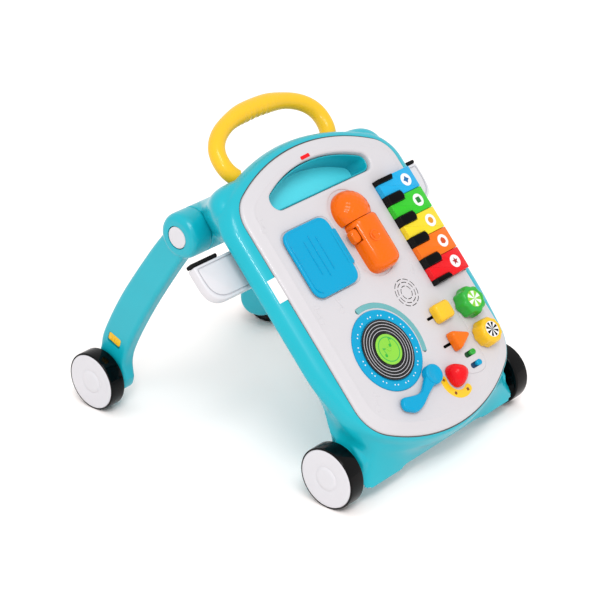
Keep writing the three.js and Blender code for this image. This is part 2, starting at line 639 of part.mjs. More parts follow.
function turnKnob({ u, v, radius, lobes, wave }, height, shaft, profile, count) {
  const foot = 0.5;
  const rings = profile.map(([scale, part]) =>
    wavy(radius, lobes, wave, scale, foot + part * (height - foot), count, u, v));
  return join(solid(loft(rings)), solid(post(shaft, u, v, -9, 2, 12)));
}

function flipPage() {
  const p = PAGE;
  const sheet = slab(roundedRect(p.axisU, p.u1, p.v0 + 5, p.v1 - 5, 8, 4), p.bottom, p.top);
  const wide = slab(roundedRect(p.u0, p.u1, p.v0, p.v1, 8, 4), p.bottom, p.top);
  const tab = slab(roundedRect(p.u1 - 8, p.u1 + 6, 207, 262, 5, 3), p.bottom, p.top - 1);
  const knuckle = new THREE.CylinderGeometry(2.5, 2.5, p.v1 - p.v0 - 11, 12)
    .translate(p.axisU, (p.v0 + p.v1) / 2, p.axisN);
  const bore = new THREE.CylinderGeometry(p.pin + 0.3, p.pin + 0.3, p.v1 - p.v0 + 4, 8)
    .translate(p.axisU, (p.v0 + p.v1) / 2, p.axisN);
  const hinged = cut(solid(sheet), solid(box(-140, p.axisU, 150, 320, 0, 8)));
  return cut(join(solid(wide), solid(tab), hinged, solid(knuckle)), solid(bore));
}

function microphoneBody() {
  const m = MIC;
  const count = 16;
  const sections = [[m.v0, 0.35], [m.v0 + 3, 0.72], [m.v0 + 9, 0.95], [m.v0 + 20, 1], [m.seam - 8, 1],
    [m.seam - 0.3, 0.93]];
  const body = loft(sections.map(([v, scale]) => Array.from({ length: count + 1 }, (_, i) => {
    const t = Math.PI * (i / count);
    const [c, s] = [Math.cos(t), Math.sin(t)];
    const squash = Math.sign(c) * Math.abs(c) ** 0.75;
    const rise = m.height * scale * Math.max(s, 0) ** 0.75;
    return new THREE.Vector3(m.u + m.half * scale * squash, v, 0.4 + rise);
  })));
  return cut(solid(body), solid(box(m.u - 34, m.u - 16, 227.5, 248.5, 4.5, 16.5)));
}

function microphoneHead() {
  const m = MIC;
  const ball = new THREE.SphereGeometry(m.headRadius, 18, 12).scale(1, 1, 0.86).translate(m.u, m.headV, 0.4);
  const below = box(-40, 70, 220, 320, -40, 0.4);
  const behindSeam = box(-40, 70, 220, m.seam + 0.3, -40, 40);
  return cut(solid(ball), solid(below), solid(behindSeam));
}

function microphoneButton() {
  return slab(roundedRect(MIC.u - 33.5, MIC.u - 19.5, 228, 248, 4, 3), 5, 16);
}

function toneArm() {
  const a = ARM;
  const outline = [[-12, 30], [-24, 28], [-38, 18], [-52, 14.5], [-72, 14.5], [-84, 16], [-92, 12], [-94, 2],
    [-88, -6], [-76, -8], [-62, -2], [-48, 3], [-30, 7], [-14, 12]].map(([x, y]) => new THREE.Vector2(x, y));
  return join(solid(slab(outline, a.bottom, a.top)), solid(post(a.disc, a.u, a.v, 0.5, a.top + 2, 24)),
    solid(post(3.5, a.u, a.v, -9, 2, 12)));
}

function sliderKnob({ u, v }, cap) {
  return join(solid(slab(cap, 1, SLIDERS.top)), solid(post(SLIDERS.stem, u, v, -6, 2, 16)),
    solid(box(u - 7, u + 7, v - 7, v + 7, -6, -3.4)));
}

function slideSwitch(v) {
  const s = SWITCHES;
  const u1 = s.u + s.length / 2 - GAP;
  const r = s.width / 2 - GAP;
  const keeper = box(u1 - s.nub - 2, u1 + 2, v - 6, v + 6, -6, -3.4);
  return join(solid(pill(u1 - s.nub, u1, v, r, -5, 1.6)), solid(keeper));
}

function speaker() {
  const r = SPEAKER.radius;
  const profile = [[0, -6], [9, -6], [r, -3.6], [r, -6.4], [15, -15], [15, -19], [0, -19]];
  return new THREE.LatheGeometry(profile.map(([r, n]) => new THREE.Vector2(r, n)), 24)
    .rotateX(Math.PI / 2)
    .translate(SPEAKER.u, SPEAKER.v, 0);
}

function circuitBoard() {
  const board = box(30, 140, 2, 108, -22, -20.4);
  const chip = box(92, 104, 52, 64, -20.6, -19);
  return join(solid(board), solid(chip));
}

// ---------------------------------------------------------------- assembly
const steel = material('steel', 0.3, 1);
const walker = new THREE.Group();
const chassis = new THREE.Group();
chassis.position.y = -DEPTH_CENTRE;
walker.add(chassis);
const panel = new THREE.Group();
panel.applyMatrix4(panelMatrix);
chassis.add(panel);

addTo(chassis, 'front_frame', frontFrame(), material('teal'));
addTo(panel, 'push_handle', handleTube(0), material('yellow'));

addTo(panel, 'frame_back_cover', backCover(), material('teal'));

// The front axle runs right across; each rear wheel has a stub axle in its leg.
const axleEnd = WHEEL.outer - 6;
addTo(chassis, 'front_axle', rod(WHEEL.axle, -axleEnd, axleEnd, 0, WHEEL.radius, 16), steel);

for (const [side, sign] of SIDES) {
  addWheel(chassis, `front_${side}`, sign, 0);
  addWheel(chassis, `rear_${side}`, sign, WHEELBASE);
  addTo(chassis, `rear_axle_${side}`,
    rod(WHEEL.axle, sign * (LEG.inner + 4), sign * axleEnd, WHEELBASE, WHEEL.radius, 16), steel);
  addTo(chassis, `rear_leg_${side}`, rearLeg(sign), material('teal'));
  addTo(chassis, `leg_pivot_${side}`, rod(HUB.pin, sign * 70.5, sign * HUB.pinEnd, HUB.y, HUB.z, 16),
    steel);
  addTo(chassis, `lock_button_${side}`, lockButton(sign), material('white'));
  const tile = acrossLeg(DRAG.length, DRAG.width, 0, sign * (LEG.outer - 6), sign * (LEG.outer + 1));
  addTo(chassis, `drag_switch_${side}`, tile, material('yellow'));
  addTo(panel, `stand_leg_${side}`, standLeg(sign), material('white'));
  addTo(panel, `stand_pad_${side}`, standPad(sign), material('black', 0.6));
  addTo(panel, `stand_pin_${side}`,
    rod(STAND.pin, sign * (STAND.inner - 11), sign * (STAND.inner + 48), STAND.pinV, STAND.pinN, 12),
    steel);
}

addTo(panel, 'station_front_shell', frontShell(), material('white'));
addTo(panel, 'station_back_shell', backShell(), material('white'));
addTo(panel, 'battery_door', batteryDoor(), material('white'));
addTo(panel, 'battery_door_screw', post(2, 0, DOOR.v1 - 6, STATION.back - 0.6, STATION.back + 8, 12),
  steel);
addTo(panel, 'circuit_board', circuitBoard(), material('board'));
addTo(panel, 'speaker_driver', speaker(), material('black', 0.6));
addTo(panel, 'light_window', arcBand(WINDOW.inner, WINDOW.outer, WINDOW.from, WINDOW.to, -3, 0.3),
  material('window'));

const keyColours = ['red', 'orange', 'yellow', 'green', 'blue'];
keyColours.forEach((colour, i) => addTo(panel, `key_${colour}`, colourKey(i), material(colour)));
addTo(panel, 'black_keys', blackKeys(), material('black'));

addTo(panel, 'flip_page', flipPage(), material('blue'));
addTo(panel, 'page_pin', new THREE.CylinderGeometry(PAGE.pin, PAGE.pin, PAGE.v1 - PAGE.v0 + 1, 8)
  .translate(PAGE.axisU, (PAGE.v0 + PAGE.v1) / 2, PAGE.axisN), steel);
addTo(panel, 'microphone_body', microphoneBody(), material('orange'));
addTo(panel, 'microphone_head', microphoneHead(), material('orange'));
addTo(panel, 'microphone_button', microphoneButton(), material('orange'));

const platter = join(solid(post(TABLE.platter, TABLE.u, TABLE.v, -3, 1.5, 36)),
  solid(post(3, TABLE.u, TABLE.v, -32, -2, 12)));
addTo(panel, 'turntable_platter', platter, material('blue'));
addTo(panel, 'record', post(TABLE.record, TABLE.u, TABLE.v, 1.9, 3.4, 36), material('black'));
addTo(panel, 'record_label', post(TABLE.label, TABLE.u, TABLE.v, 3.7, 4.3, 28), material('green'));

addTo(panel, 'tone_arm', toneArm(), material('blue'));
const square = SLIDERS.square;
const squareCap = roundedRect(square.u - 16, square.u + 16, square.v - 13.5, square.v + 13.5, 7);
addTo(panel, 'slider_square', sliderKnob(square, squareCap), material('yellow'));
const tri = SLIDERS.triangle;
const triangle = [[-11, 14], [-13, 11], [-13, -11], [-11, -14], [-8, -14], [16, -2.5], [18, 0], [16, 2.5],
  [-8, 14]].map(([x, y]) => new THREE.Vector2(tri.u + x, tri.v + y));
addTo(panel, 'slider_triangle', sliderKnob(tri, triangle.reverse()), material('orange'));

const bluntTop = [[0.94, 0], [1, 0.12], [0.95, 0.7], [0.86, 0.9], [0.68, 1]];
const knob = (which, count) => turnKnob(which, KNOBS.height, KNOBS.shaft, bluntTop, count);
addTo(panel, 'knob_green', knob(KNOBS.green, 32), material('green'));
addTo(panel, 'knob_yellow', knob(KNOBS.yellow, 30), material('yellow'));
const domed = [[0.94, 0], [1, 0.15], [0.97, 0.4], [0.8, 0.62], [0.55, 0.84], [0.2, 1]];
addTo(panel, 'selector_knob', turnKnob(SELECTOR, SELECTOR.height, SELECTOR.shaft, domed, 24),
  material('red'));
addTo(panel, 'power_switch', slideSwitch(SWITCHES.power), material('green'));
addTo(panel, 'volume_switch', slideSwitch(SWITCHES.volume), material('blue'));

export default walker;
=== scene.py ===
"""A baby walker: its looks, built on the CAD frame. Lengths are millimetres until a mesh is made."""
import math

import bmesh
import bpy
import numpy as np
from mathutils import Matrix, Vector
from mathutils.bvhtree import BVHTree
from mathutils.geometry import delaunay_2d_cdt

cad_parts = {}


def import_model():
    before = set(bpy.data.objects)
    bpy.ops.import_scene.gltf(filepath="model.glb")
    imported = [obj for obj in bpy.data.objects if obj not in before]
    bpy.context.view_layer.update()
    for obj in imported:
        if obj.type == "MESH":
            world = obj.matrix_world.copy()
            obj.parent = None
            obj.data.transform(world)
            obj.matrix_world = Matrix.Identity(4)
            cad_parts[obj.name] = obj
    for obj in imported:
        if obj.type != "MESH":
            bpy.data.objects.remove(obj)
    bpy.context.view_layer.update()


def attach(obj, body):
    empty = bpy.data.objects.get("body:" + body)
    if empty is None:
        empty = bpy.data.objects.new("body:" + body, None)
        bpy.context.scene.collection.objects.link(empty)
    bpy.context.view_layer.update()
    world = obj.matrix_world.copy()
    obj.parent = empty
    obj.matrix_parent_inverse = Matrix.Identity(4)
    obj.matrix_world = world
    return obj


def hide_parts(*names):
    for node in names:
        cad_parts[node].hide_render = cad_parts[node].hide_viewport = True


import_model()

MM = 0.001
DEPTH_CENTRE = 209.5
CHASSIS = Matrix.Translation((0, -DEPTH_CENTRE, 0))
PANEL_LEAN = math.radians(49.64)
PANEL = CHASSIS @ Matrix.Translation((0, -47.46, 114.86)) @ Matrix.Rotation(PANEL_LEAN, 4, "X")
DRAG = CHASSIS @ Matrix.Translation((0, 425, 110.5)) @ Matrix.Rotation(math.radians(22.4), 4, "X")
SIDES = (("left", -1), ("right", 1))

# On the panel u runs across, v up and n outward; on the chassis y runs back and z up.
WHEEL = {"radius": 44.4, "inner": 172, "outer": 200, "seat": 38.2, "cap": 42.2}
WHEELBASE = 451.85
STATION = {"half": 159, "top": 388, "top_radii": (286, 45), "bottom": -51.5, "bottom_radii": (249, 60),
           "split": -26}
CARRY = {"corner": 14, "u": 88, "v": 329, "arch": 212}
HUB = (279.9, 309.5)
HUB_SEAM, HUB_FACE = 136, 172
HANDLE = {"n": -41.5, "v": 413.8, "half_u": 105.4, "half_v": 54.6, "power": 2.24, "radius": 12, "grip": 14,
          "end": -26, "rib": 0.55, "rib_pitch": 11.5}
STAND = {"front": -50, "back": -66, "inner": 134, "outer": 235, "low": 246, "top": 303}
KEYS = {"u0": 82, "u1": 154, "v0": 127, "pitch": 33.6, "top": 9, "bottom": -8, "black": 32, "width": 14}
PAGE = {"u1": -35, "v0": 183, "v1": 285, "hinge": -121.5}
MIC = {"u": 14, "v0": 178, "seam": 257, "head": 272, "radius": 31, "half": 26.5, "height": 25}
TABLE, ARM, SPEAKER = (-59.4, 82.2), (-16, 23), (29, 138)
SLIDERS = {"square": (62, 91), "triangle": (62, 47)}
SLIDER_TRAVEL = 24
SWITCHES = {"power": (74, 22), "volume": (74, 5)}
SWITCH_HALF = 12
SELECTOR, CRESCENT = (24, 6), (25, 3)
NOTES = [(-134, 158, 1.5, 12), (-128, 22, 1.5, -10), (-92, 158, 1.3, 14), (-4, 60, 1.2, 0), (126, 40, 1.3, 8),
         (60, 160, 1.2, -14), (-140, 300, 1.3, 8)]


# ---- numbers and curves
def mix(a, b, t):
    return a + (b - a) * t


def step(x, low, high):
    t = min(max((x - low) / (high - low), 0), 1)
    return t * t * (3 - 2 * t)


def bend(x, power):
    return math.copysign(abs(x) ** power, x)


def spline(rows, per):
    """Catmull-Rom through rows of numbers, per steps to each gap."""
    last = len(rows) - 1
    out = []
    for i in range(last):
        near = [rows[min(max(j, 0), last)] for j in range(i - 1, i + 3)]
        for k in range(per):
            t = k / per
            weights = (-t + 2 * t ** 2 - t ** 3, 2 - 5 * t ** 2 + 3 * t ** 3, t + 4 * t ** 2 - 3 * t ** 3,
                       t ** 3 - t ** 2)
            out.append(tuple(sum(w * q for w, q in zip(weights, column)) / 2 for column in zip(*near)))
    return out + [tuple(rows[-1])]


def quarter(count):
    """A quarter round as (1 - cos, 1 - sin) pairs."""
    return [(1 - math.cos(a), 1 - math.sin(a)) for a in (math.pi / 2 * i / count for i in range(count + 1))]


def turns(count):
    return [math.tau * i / count for i in range(count)]


def circle(u, v, radius, count=48):
    return [(u + radius * math.cos(a), v + radius * math.sin(a)) for a in turns(count)]


def arc(u, v, radius, start, end, count):
    """Points from start to end degrees, both ends included."""
    angles = [math.radians(mix(start, end, i / count)) for i in range(count + 1)]
    return [(u + radius * math.cos(a), v + radius * math.sin(a)) for a in angles]


def rect(u0, u1, v0, v1, radius, count=8):
    corners = ((u1 - radius, v1 - radius, 0), (u0 + radius, v1 - radius, 90),
               (u0 + radius, v0 + radius, 180), (u1 - radius, v0 + radius, 270))
    return [p for u, v, a in corners for p in arc(u, v, radius, a, a + 90, count)]


def band(u, v, inner, outer, start, end, count=48):
    """A bent strip with round ends."""
    middle, half = (inner + outer) / 2, (outer - inner) / 2
    ends = arc(u, v, middle, start, end, 1)
    cap = max(4, count // 6)
    return (arc(u, v, outer, start, end, count) + arc(*ends[1], half, end, end + 180, cap)[1:-1]
            + arc(u, v, inner, end, start, count) + arc(*ends[0], half, start + 180, start + 360, cap)[1:-1])


def rounded(points, radius, count=5):
    """A polygon with each corner replaced by an arc."""
    out = []
    for i, p in enumerate(points):
        corner = Vector(p)
        before = Vector(points[i - 1]) - corner
        after = Vector(points[(i + 1) % len(points)]) - corner
        reach = min(radius, before.length * 0.49, after.length * 0.49)
        a, b = corner + before.normalized() * reach, corner + after.normalized() * reach
        for k in range(count + 1):
            t = k / count
            out.append(tuple(a * (1 - t) ** 2 + corner * 2 * t * (1 - t) + b * t ** 2))
    return out


def offset(points, distance):
    """The outline moved outward (counter-clockwise points) by a distance."""
    out = []
    count = len(points)
    for i in range(count):
        (ax, ay), (bx, by), (cx, cy) = points[i - 1], points[i], points[(i + 1) % count]
        first, second = Vector((by - ay, ax - bx)).normalized(), Vector((cy - by, bx - cx)).normalized()
        normal = first + second
        if normal.length < 1e-6:
            normal = first
        normal.normalize()
        reach = distance / max(0.4, normal.dot(first)) if first.length else distance
        out.append((bx + normal.x * reach, by + normal.y * reach))
    return out


def stroke(points, half):
    """The outline of a line drawn through points."""
    sides = ([], [])
    for i, p in enumerate(points):
        along = Vector(points[min(i + 1, len(points) - 1)]) - Vector(points[max(i - 1, 0)])
        along.normalize()
        for side, sign in zip(sides, (1, -1)):
            side.append((p[0] + sign * along.y * half, p[1] - sign * along.x * half))
    return sides[0] + sides[1][::-1]


# ---- meshes
def loft(rings, joined=False):
    """Quads between rings of equal counts, capped at both ends or joined from the last to the first."""
    count = len(rings[0])
    verts = [p for ring in rings for p in ring]
    faces = []
    for r in range(len(rings) if joined else len(rings) - 1):
        a, b = r * count, (r + 1) % len(rings) * count
        faces += [(a + i, a + (i + 1) % count, b + (i + 1) % count, b + i) for i in range(count)]
    if not joined:
        faces += [tuple(range(count))[::-1], tuple(range(len(verts) - count, len(verts)))]
    return verts, faces


def pillow(outline, profile):
    """An outline swept up through (outward offset, n) pairs."""
    return loft([[(u, v, n) for u, v in offset(outline, out)] for out, n in profile])


def soft_slab(outline, low, high, edge=1.0):
    """A slab with rounded upper edges."""
    arcs = [(-edge * x, high - edge * y) for x, y in quarter(4)]
    return pillow(outline, [(-0.3 * edge, low), (0, low + 0.3 * edge)] + arcs)


def lathe(profile, centre=(0, 0), count=64, joined=False):
    """(radius, n) pairs turned about the n axis."""
    rings = [[(*p, n) for p in circle(*centre, max(r, 0.02), count)] for r, n in profile]
    return loft(rings, joined=joined)


def merged(*parts):
    verts, faces = [], []
    for part_verts, part_faces in parts:
        base = len(verts)
        verts += part_verts
        faces += [tuple(base + i for i in face) for face in part_faces]
    return verts, faces


def moved(part, matrix):
    return [tuple(matrix @ Vector(p)) for p in part[0]], part[1]


def placed(name, data):
    obj = bpy.data.objects.new(name, data)
    bpy.context.scene.collection.objects.link(obj)
    return obj


def mesh_object(name, part, place=PANEL, angle=32):
    verts, faces = part
    mesh = bpy.data.meshes.new(name)
    mesh.from_pydata([MM * (place @ Vector(p)) for p in verts], [], faces)
    tidy(mesh, angle)
    return placed(name, mesh)


def tidy(mesh, angle):
    bm = bmesh.new()
    bm.from_mesh(mesh)
    bmesh.ops.remove_doubles(bm, verts=bm.verts, dist=2e-6)
    bmesh.ops.dissolve_degenerate(bm, edges=bm.edges, dist=1e-7)
    bmesh.ops.recalc_face_normals(bm, faces=bm.faces)
    bm.to_mesh(mesh)
    bm.free()
    mesh.shade_smooth()
    mesh.set_sharp_from_angle(angle=math.radians(angle))


def piece(name, part, body, looks, replaced=(), place=PANEL):
    """A finished piece on its body; looks names one material, or a list of them with the main one first."""
    obj = part if isinstance(part, bpy.types.Object) else mesh_object(name, part, place)
    names = looks if isinstance(looks, list) else [looks]
    obj.data.materials.clear()
    for look in names:
        obj.data.materials.append(LOOKS[look])
    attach(obj, body)
    if replaced:
        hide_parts(*replaced)
    return obj


def apply_modifiers(obj):
    depsgraph = bpy.context.evaluated_depsgraph_get()
    mesh = bpy.data.meshes.new_from_object(obj.evaluated_get(depsgraph))
    obj.modifiers.clear()
    obj.data = mesh


def cut(obj, *cutters):
    """Takes closed meshes, (part, place) pairs, out of obj."""
    for k, (part, place) in enumerate(cutters):
        tool = mesh_object(f"{obj.name}_cutter_{k}", part, place)
        modifier = obj.modifiers.new("cut", "BOOLEAN")
        modifier.operation = "DIFFERENCE"
        modifier.solver = "MANIFOLD"
        modifier.object = tool
        apply_modifiers(obj)
        bpy.data.objects.remove(tool)


def weld(name, parts, voxel, rounds, cutters):
    """Parts, as (part, place) pairs, joined into one skin with soft fillets where they meet."""
    verts, faces = merged(*(moved(part, place) for part, place in parts))
    obj = mesh_object(name, (verts, faces), Matrix())
    skin = BVHTree.FromPolygons([MM * Vector(p) for p in verts], faces)
    remesh = obj.modifiers.new("skin", "REMESH")
    remesh.mode = "VOXEL"
    remesh.voxel_size = voxel * MM
    smooth = obj.modifiers.new("smooth", "SMOOTH")
    smooth.factor = 0.5
    smooth.iterations = rounds
    apply_modifiers(obj)
    for vertex in obj.data.vertices:
        near, _, _, distance = skin.find_nearest(vertex.co)
        keep = step(distance / MM, 0.35, 1.1)
        vertex.co = near.lerp(vertex.co, keep)
    cut(obj, *cutters)
    tidy(obj.data, 40)
    return obj


# ---- materials
TONE = 0.76    # takes the colours down under the bright light


def linear(code):
    channels = [int(code[i:i + 2], 16) / 255 for i in (0, 2, 4)]
    return [c / 12.92 if c <= 0.04045 else ((c + 0.055) / 1.055) ** 2.4 for c in channels]


def fill(node, inputs):
    """Sets a node's inputs to values, or links them from sockets."""
    for name, value in inputs.items():
        if isinstance(value, bpy.types.NodeSocket):
            node.id_data.links.new(value, node.inputs[name])
        else:
            node.inputs[name].default_value = value


def add_node(tree, kind, inputs, output, data_type=None):
    """A new node with its inputs filled; gives back one of its outputs."""
    node = tree.nodes.new(kind)
    if data_type:
        node.data_type = data_type
    fill(node, inputs)
    return node.outputs[output]


def add_ramp(tree, source, *stops):
    ramp = tree.nodes.new("ShaderNodeValToRGB")
    for element, (position, colour) in zip(ramp.color_ramp.elements, stops):
        element.position = position
        element.color = colour
    tree.links.new(source, ramp.inputs["Fac"])
    return ramp.outputs["Color"]


def material(name, code, roughness=0.3, vary=0.05, grain=0.02, grain_scale=900, coat=0.08, metallic=0.0,
             clear=0.0, gloss_level=0.28, tone=TONE):
    """Moulded plastic and the like: faint clouding, paler edges, uneven gloss and a fine surface grain."""
    look = bpy.data.materials.new(name)
    look.use_nodes = True
    tree = look.node_tree
    colour = [c * tone for c in linear(code)]
    dark = [c * (1 - vary) for c in colour]
    pale = [mix(c, tone, vary) for c in colour]
    place = add_node(tree, "ShaderNodeTexCoord", {}, "Object")
    cloud = add_node(tree, "ShaderNodeTexNoise", {"Scale": 22, "Detail": 3, "Vector": place}, "Fac")
    tint = add_ramp(tree, cloud, (0.3, dark + [1]), (0.7, colour + [1]))
    edge = add_node(tree, "ShaderNodeNewGeometry", {}, "Pointiness")
    # Paler colour on convex edges, from pointiness.
    edge_pale = add_ramp(tree, edge, (0.53, (0, 0, 0, 1)), (0.62, (1, 1, 1, 1)))
    shade = add_node(tree, "ShaderNodeMix", {"Factor": edge_pale, "A": tint, "B": pale + [1]}, "Result", "RGBA")
    span = {"Value": cloud, "To Min": roughness * 0.85, "To Max": min(1, roughness * 1.2)}
    gloss = add_node(tree, "ShaderNodeMapRange", span, "Result")
    fine = add_node(tree, "ShaderNodeTexNoise", {"Scale": grain_scale, "Detail": 2, "Vector": place}, "Fac")
    bump = add_node(tree, "ShaderNodeBump", {"Strength": grain, "Distance": 0.0006, "Height": fine}, "Normal")
    fill(tree.nodes["Principled BSDF"], {
        "Base Color": shade, "Roughness": gloss, "Normal": bump, "Specular IOR Level": gloss_level,
        "Metallic": metallic, "Coat Weight": coat, "Coat Roughness": 0.08, "Transmission Weight": clear})
    return look


LOOKS = {
    "teal": material("teal plastic", "08bbcd", 0.3, 0.03, coat=0.2),
    # A paler teal for the pocket's floor: painted light, where the deep pocket is in shade.
    "teal_painted_light": material("pale teal plastic", "54dbe8", 0.36, 0.03, tone=1),
    "white": material("white plastic", "e6e5ea", 0.32, 0.02),
    "shell": material("shell plastic", "dbd8dc", 0.34, 0.02, coat=0.18),
    "yellow": material("yellow plastic", "ffcb24", 0.26, 0.03, coat=0.2, gloss_level=0.2),
    "black": material("black plastic", "030304", 0.28, 0.01, coat=0.02, gloss_level=0.06),
    "tyre": material("black tyre", "020203", 0.26, 0.01, coat=0.2, gloss_level=0.04),
    "rubber": material("black rubber", "060607", 0.6, 0.01, grain=0.1, coat=0, gloss_level=0.05),
    "blue": material("blue plastic", "00a8d8", 0.28, 0.02, gloss_level=0.12),
    "orange": material("orange plastic", "ff780c", 0.24, 0.02, gloss_level=0.16),
    "mic": material("deep orange plastic", "ff7000", 0.2, 0.02, coat=0.25, gloss_level=0.1),
    "record": material("record", "141416", 0.3, 0.05, coat=0.1, gloss_level=0.15),
    "red": material("red plastic", "f4101c", 0.24, 0.02, gloss_level=0.14),
    "green": material("green plastic", "2fb73c", 0.24, 0.04),
    # Pale grey for the painted highlights in the record's grooves.
    "ring": material("pale ring", "d4d4da", 0.3, 0.02),
    "key_green": material("bright green plastic", "34cf2a", 0.26, 0.02, gloss_level=0.16),
    "key_yellow": material("bright yellow plastic", "fce21c", 0.26, 0.03),
    "key_blue": material("pale blue plastic", "18b4ee", 0.26, 0.02, gloss_level=0.16),
    # Black for painted shade: the seam strip and the floors of the deep wells and slots.
    "dark": material("dark slot", "0c0c0e", 0.6, 0.1, coat=0),
    "steel": material("steel", "b9bcc0", 0.25, 0.1, grain=0.1, coat=0, metallic=1),
    "board": material("circuit board", "1d6b3a", 0.5, 0.2, grain=0.1, coat=0.1),
    "cone": material("speaker cone", "17181a", 0.8, 0.2, grain=0.3, grain_scale=500, coat=0),
    "window": material("light window", "72c2c6", 0.2, 0.05, clear=0.15),
    "print_white": material("white print", "fbfbfb", 0.4, 0.01, coat=0.1),
    "label": material("green label", "8fdc3c", 0.35, 0.03, coat=0.2),
    "print_yellow": material("yellow print", "ffd21f", 0.35, 0.03, coat=0.2),
    "print_brown": material("brown print", "8a4a1c", 0.4, 0.02),
    "bed_green": material("dark green bed", "0d4a22", 0.4, 0.1),
    "bed_blue": material("dark blue bed", "12456b", 0.4, 0.1),
}
KEY_PRINTS = (("red", "red", "b0141f"), ("orange", "orange", "d84b00"), ("amber", "yellow", "e79a00"),
              ("green", "green", "12802a"), ("blue", "blue", "0a6fb0"))
for look, name, code in KEY_PRINTS:
    LOOKS[f"print_{look}"] = material(f"{name} print", code, 0.4, 0.02)


# ---- front frame
def station_outline():
    """Points round the station with their outward directions, counter-clockwise: (u, v, x, y)."""
    half, (top_r, top_c), (low_r, low_c) = (STATION[key] for key in ("half", "top_radii", "bottom_radii"))
    top_u, low_u = half - top_c, half - low_c
    top_v, low_v = STATION["top"] - top_r, STATION["bottom"] + low_r
    upper_v = top_v + math.sqrt((top_r - top_c) ** 2 - top_u ** 2)
    lower_v = low_v - math.sqrt((low_r - low_c) ** 2 - low_u ** 2)
    top, low = math.atan2(upper_v - top_v, top_u), math.atan2(low_v - lower_v, low_u)
    points = []

    def bow(u, v, radius, start, end, count=32):
        for i in range(count):
            a = mix(start, end, i / count)
            x, y = math.cos(a), math.sin(a)
            points.append((u + radius * x, v + radius * y, x, y))

    def side(sign, start, end, count=96):
        points.extend((sign * half, mix(start, end, i / count), sign, 0.0) for i in range(count))

    bow(0, low_v, low_r, low - math.pi, -low, 80)
    bow(low_u, lower_v, low_c, -low, 0)
    side(1, lower_v, upper_v)
    bow(top_u, upper_v, top_c, 0, top)
    bow(0, top_v, top_r, top, math.pi - top, 80)
    bow(-top_u, upper_v, top_c, math.pi - top, math.pi)
    side(-1, upper_v, lower_v)
    bow(-low_u, lower_v, low_c, math.pi, math.pi + low)
    return points


OUTLINE = station_outline()
EDGE = [(u, v) for u, v, _, _ in OUTLINE]
# The rail's section, front to back: (n, share of the bulge at that height).
RAIL = [(-7, 0.07), (-8.4, 0.3), (-12, 0.6), (-20, 0.87), (-30, 1), (-38, 0.72), (-47, 0.32), (-55, 0.03),
        (-62, -0.25)]
RAIL_BACK = RAIL[-1][0]
FLARE_FRONT = -18
POCKET_FLOOR = -43.5
FOOT = {"half": 170.5, "bottom": -63, "dip": 5, "soft": 9}
# The shoulders, front to back: (n, u, v, half width, half height).
SHOULDER = [(-13, 116, 340, 6, 4), (-15.5, 116, 340, 38, 27), (-20, 116, 340, 50, 38),
            (-30, 118, 341, 54, 42), (-42, 116, 342, 54, 43), (-56, 112, 343, 51, 42),
            (-70, 107, 347, 46, 37), (-84, 103, 352, 41, 34), (-98, 100, 356, 37, 33),
            (-123.5, 98, 360.4, 35, 33)]
SQUARED = 2 / 2.6


def rail_bulge(v):
    return mix(mix(8, 24, step(v, -20, 110)), 15, step(v, 310, 385))


def foot_reach(u, v, x, y):
    """How far an outline point moves out to the squared-off foot."""
    far = 1e3
    sideways = (FOOT["half"] - abs(u)) / abs(x) if abs(x) > 0.02 else far
    level = (v - FOOT["bottom"]) / -y if y < -0.02 else far
    side = abs(u) + abs(x) * min(level, far)
    down = level + FOOT["dip"] * step(side, 55, 125) * (1 - 0.6 * step(side, 140, 175))
    soft = FOOT["soft"]
    corner = -soft * math.log(math.exp(-sideways / soft) + math.exp(-down / soft))
    return mix(corner, -2, step(v, 25, 80))


def rail_ring(n, share):
    flare = min(max((FLARE_FRONT - n) / (FLARE_FRONT - RAIL_BACK), 0), 1) ** 1.7
    ring = []
    for u, v, x, y in OUTLINE:
        out = mix(share * rail_bulge(v), foot_reach(u, v, x, y), flare * (1 - step(v, 15, 85)))
        ring.append((u + out * x, v + out * y, n))
    return ring


def outline_ring(n, out):
    return [(u + out * x, v + out * y, n) for u, v, x, y in OUTLINE]


def shoulder(sign):
    return loft([[(sign * (u + a * bend(math.cos(t), SQUARED)), v + b * bend(math.sin(t), SQUARED), n)
                  for t in turns(96)] for n, u, v, a, b in spline(SHOULDER, 4)])


def along_x(profile, sign, y, z, count=64):
    """(radius, distance from the middle) pairs turned about a line along X, on one side."""
    verts, faces = lathe([(r, sign * x) for r, x in profile], count=count)
    return [(n, y + a, z + b) for a, b, n in verts], faces


def in_side(points, sign, near, far, edge):
    """An outline in (y, z) as a slab on one side with rounded edges."""
    x0, x1 = sorted((sign * near, sign * far))
    arcs = [(-edge * a, edge * b) for a, b in quarter(5)]
    profile = [(out, x0 + rise) for out, rise in arcs[::-1]] + [(out, x1 - rise) for out, rise in arcs]
    verts, faces = pillow(points, profile)
    return [(n, a, b) for a, b, n in verts], faces


def foot_outline():
    lower = arc(0, WHEEL["radius"], 19, -100, 0, 10)
    upper = [(20.5, 68), (25, 92), (36, 121), (20, 119), (4, 112), (-34, 62), (-36, 32), (-22, 26)]
    return lower + upper


def block(u0, u1, v0, v1, n0, n1, radius=0.5):
    return pillow(rect(u0, u1, v0, v1, radius, 6), [(0, n0), (0, n1)])


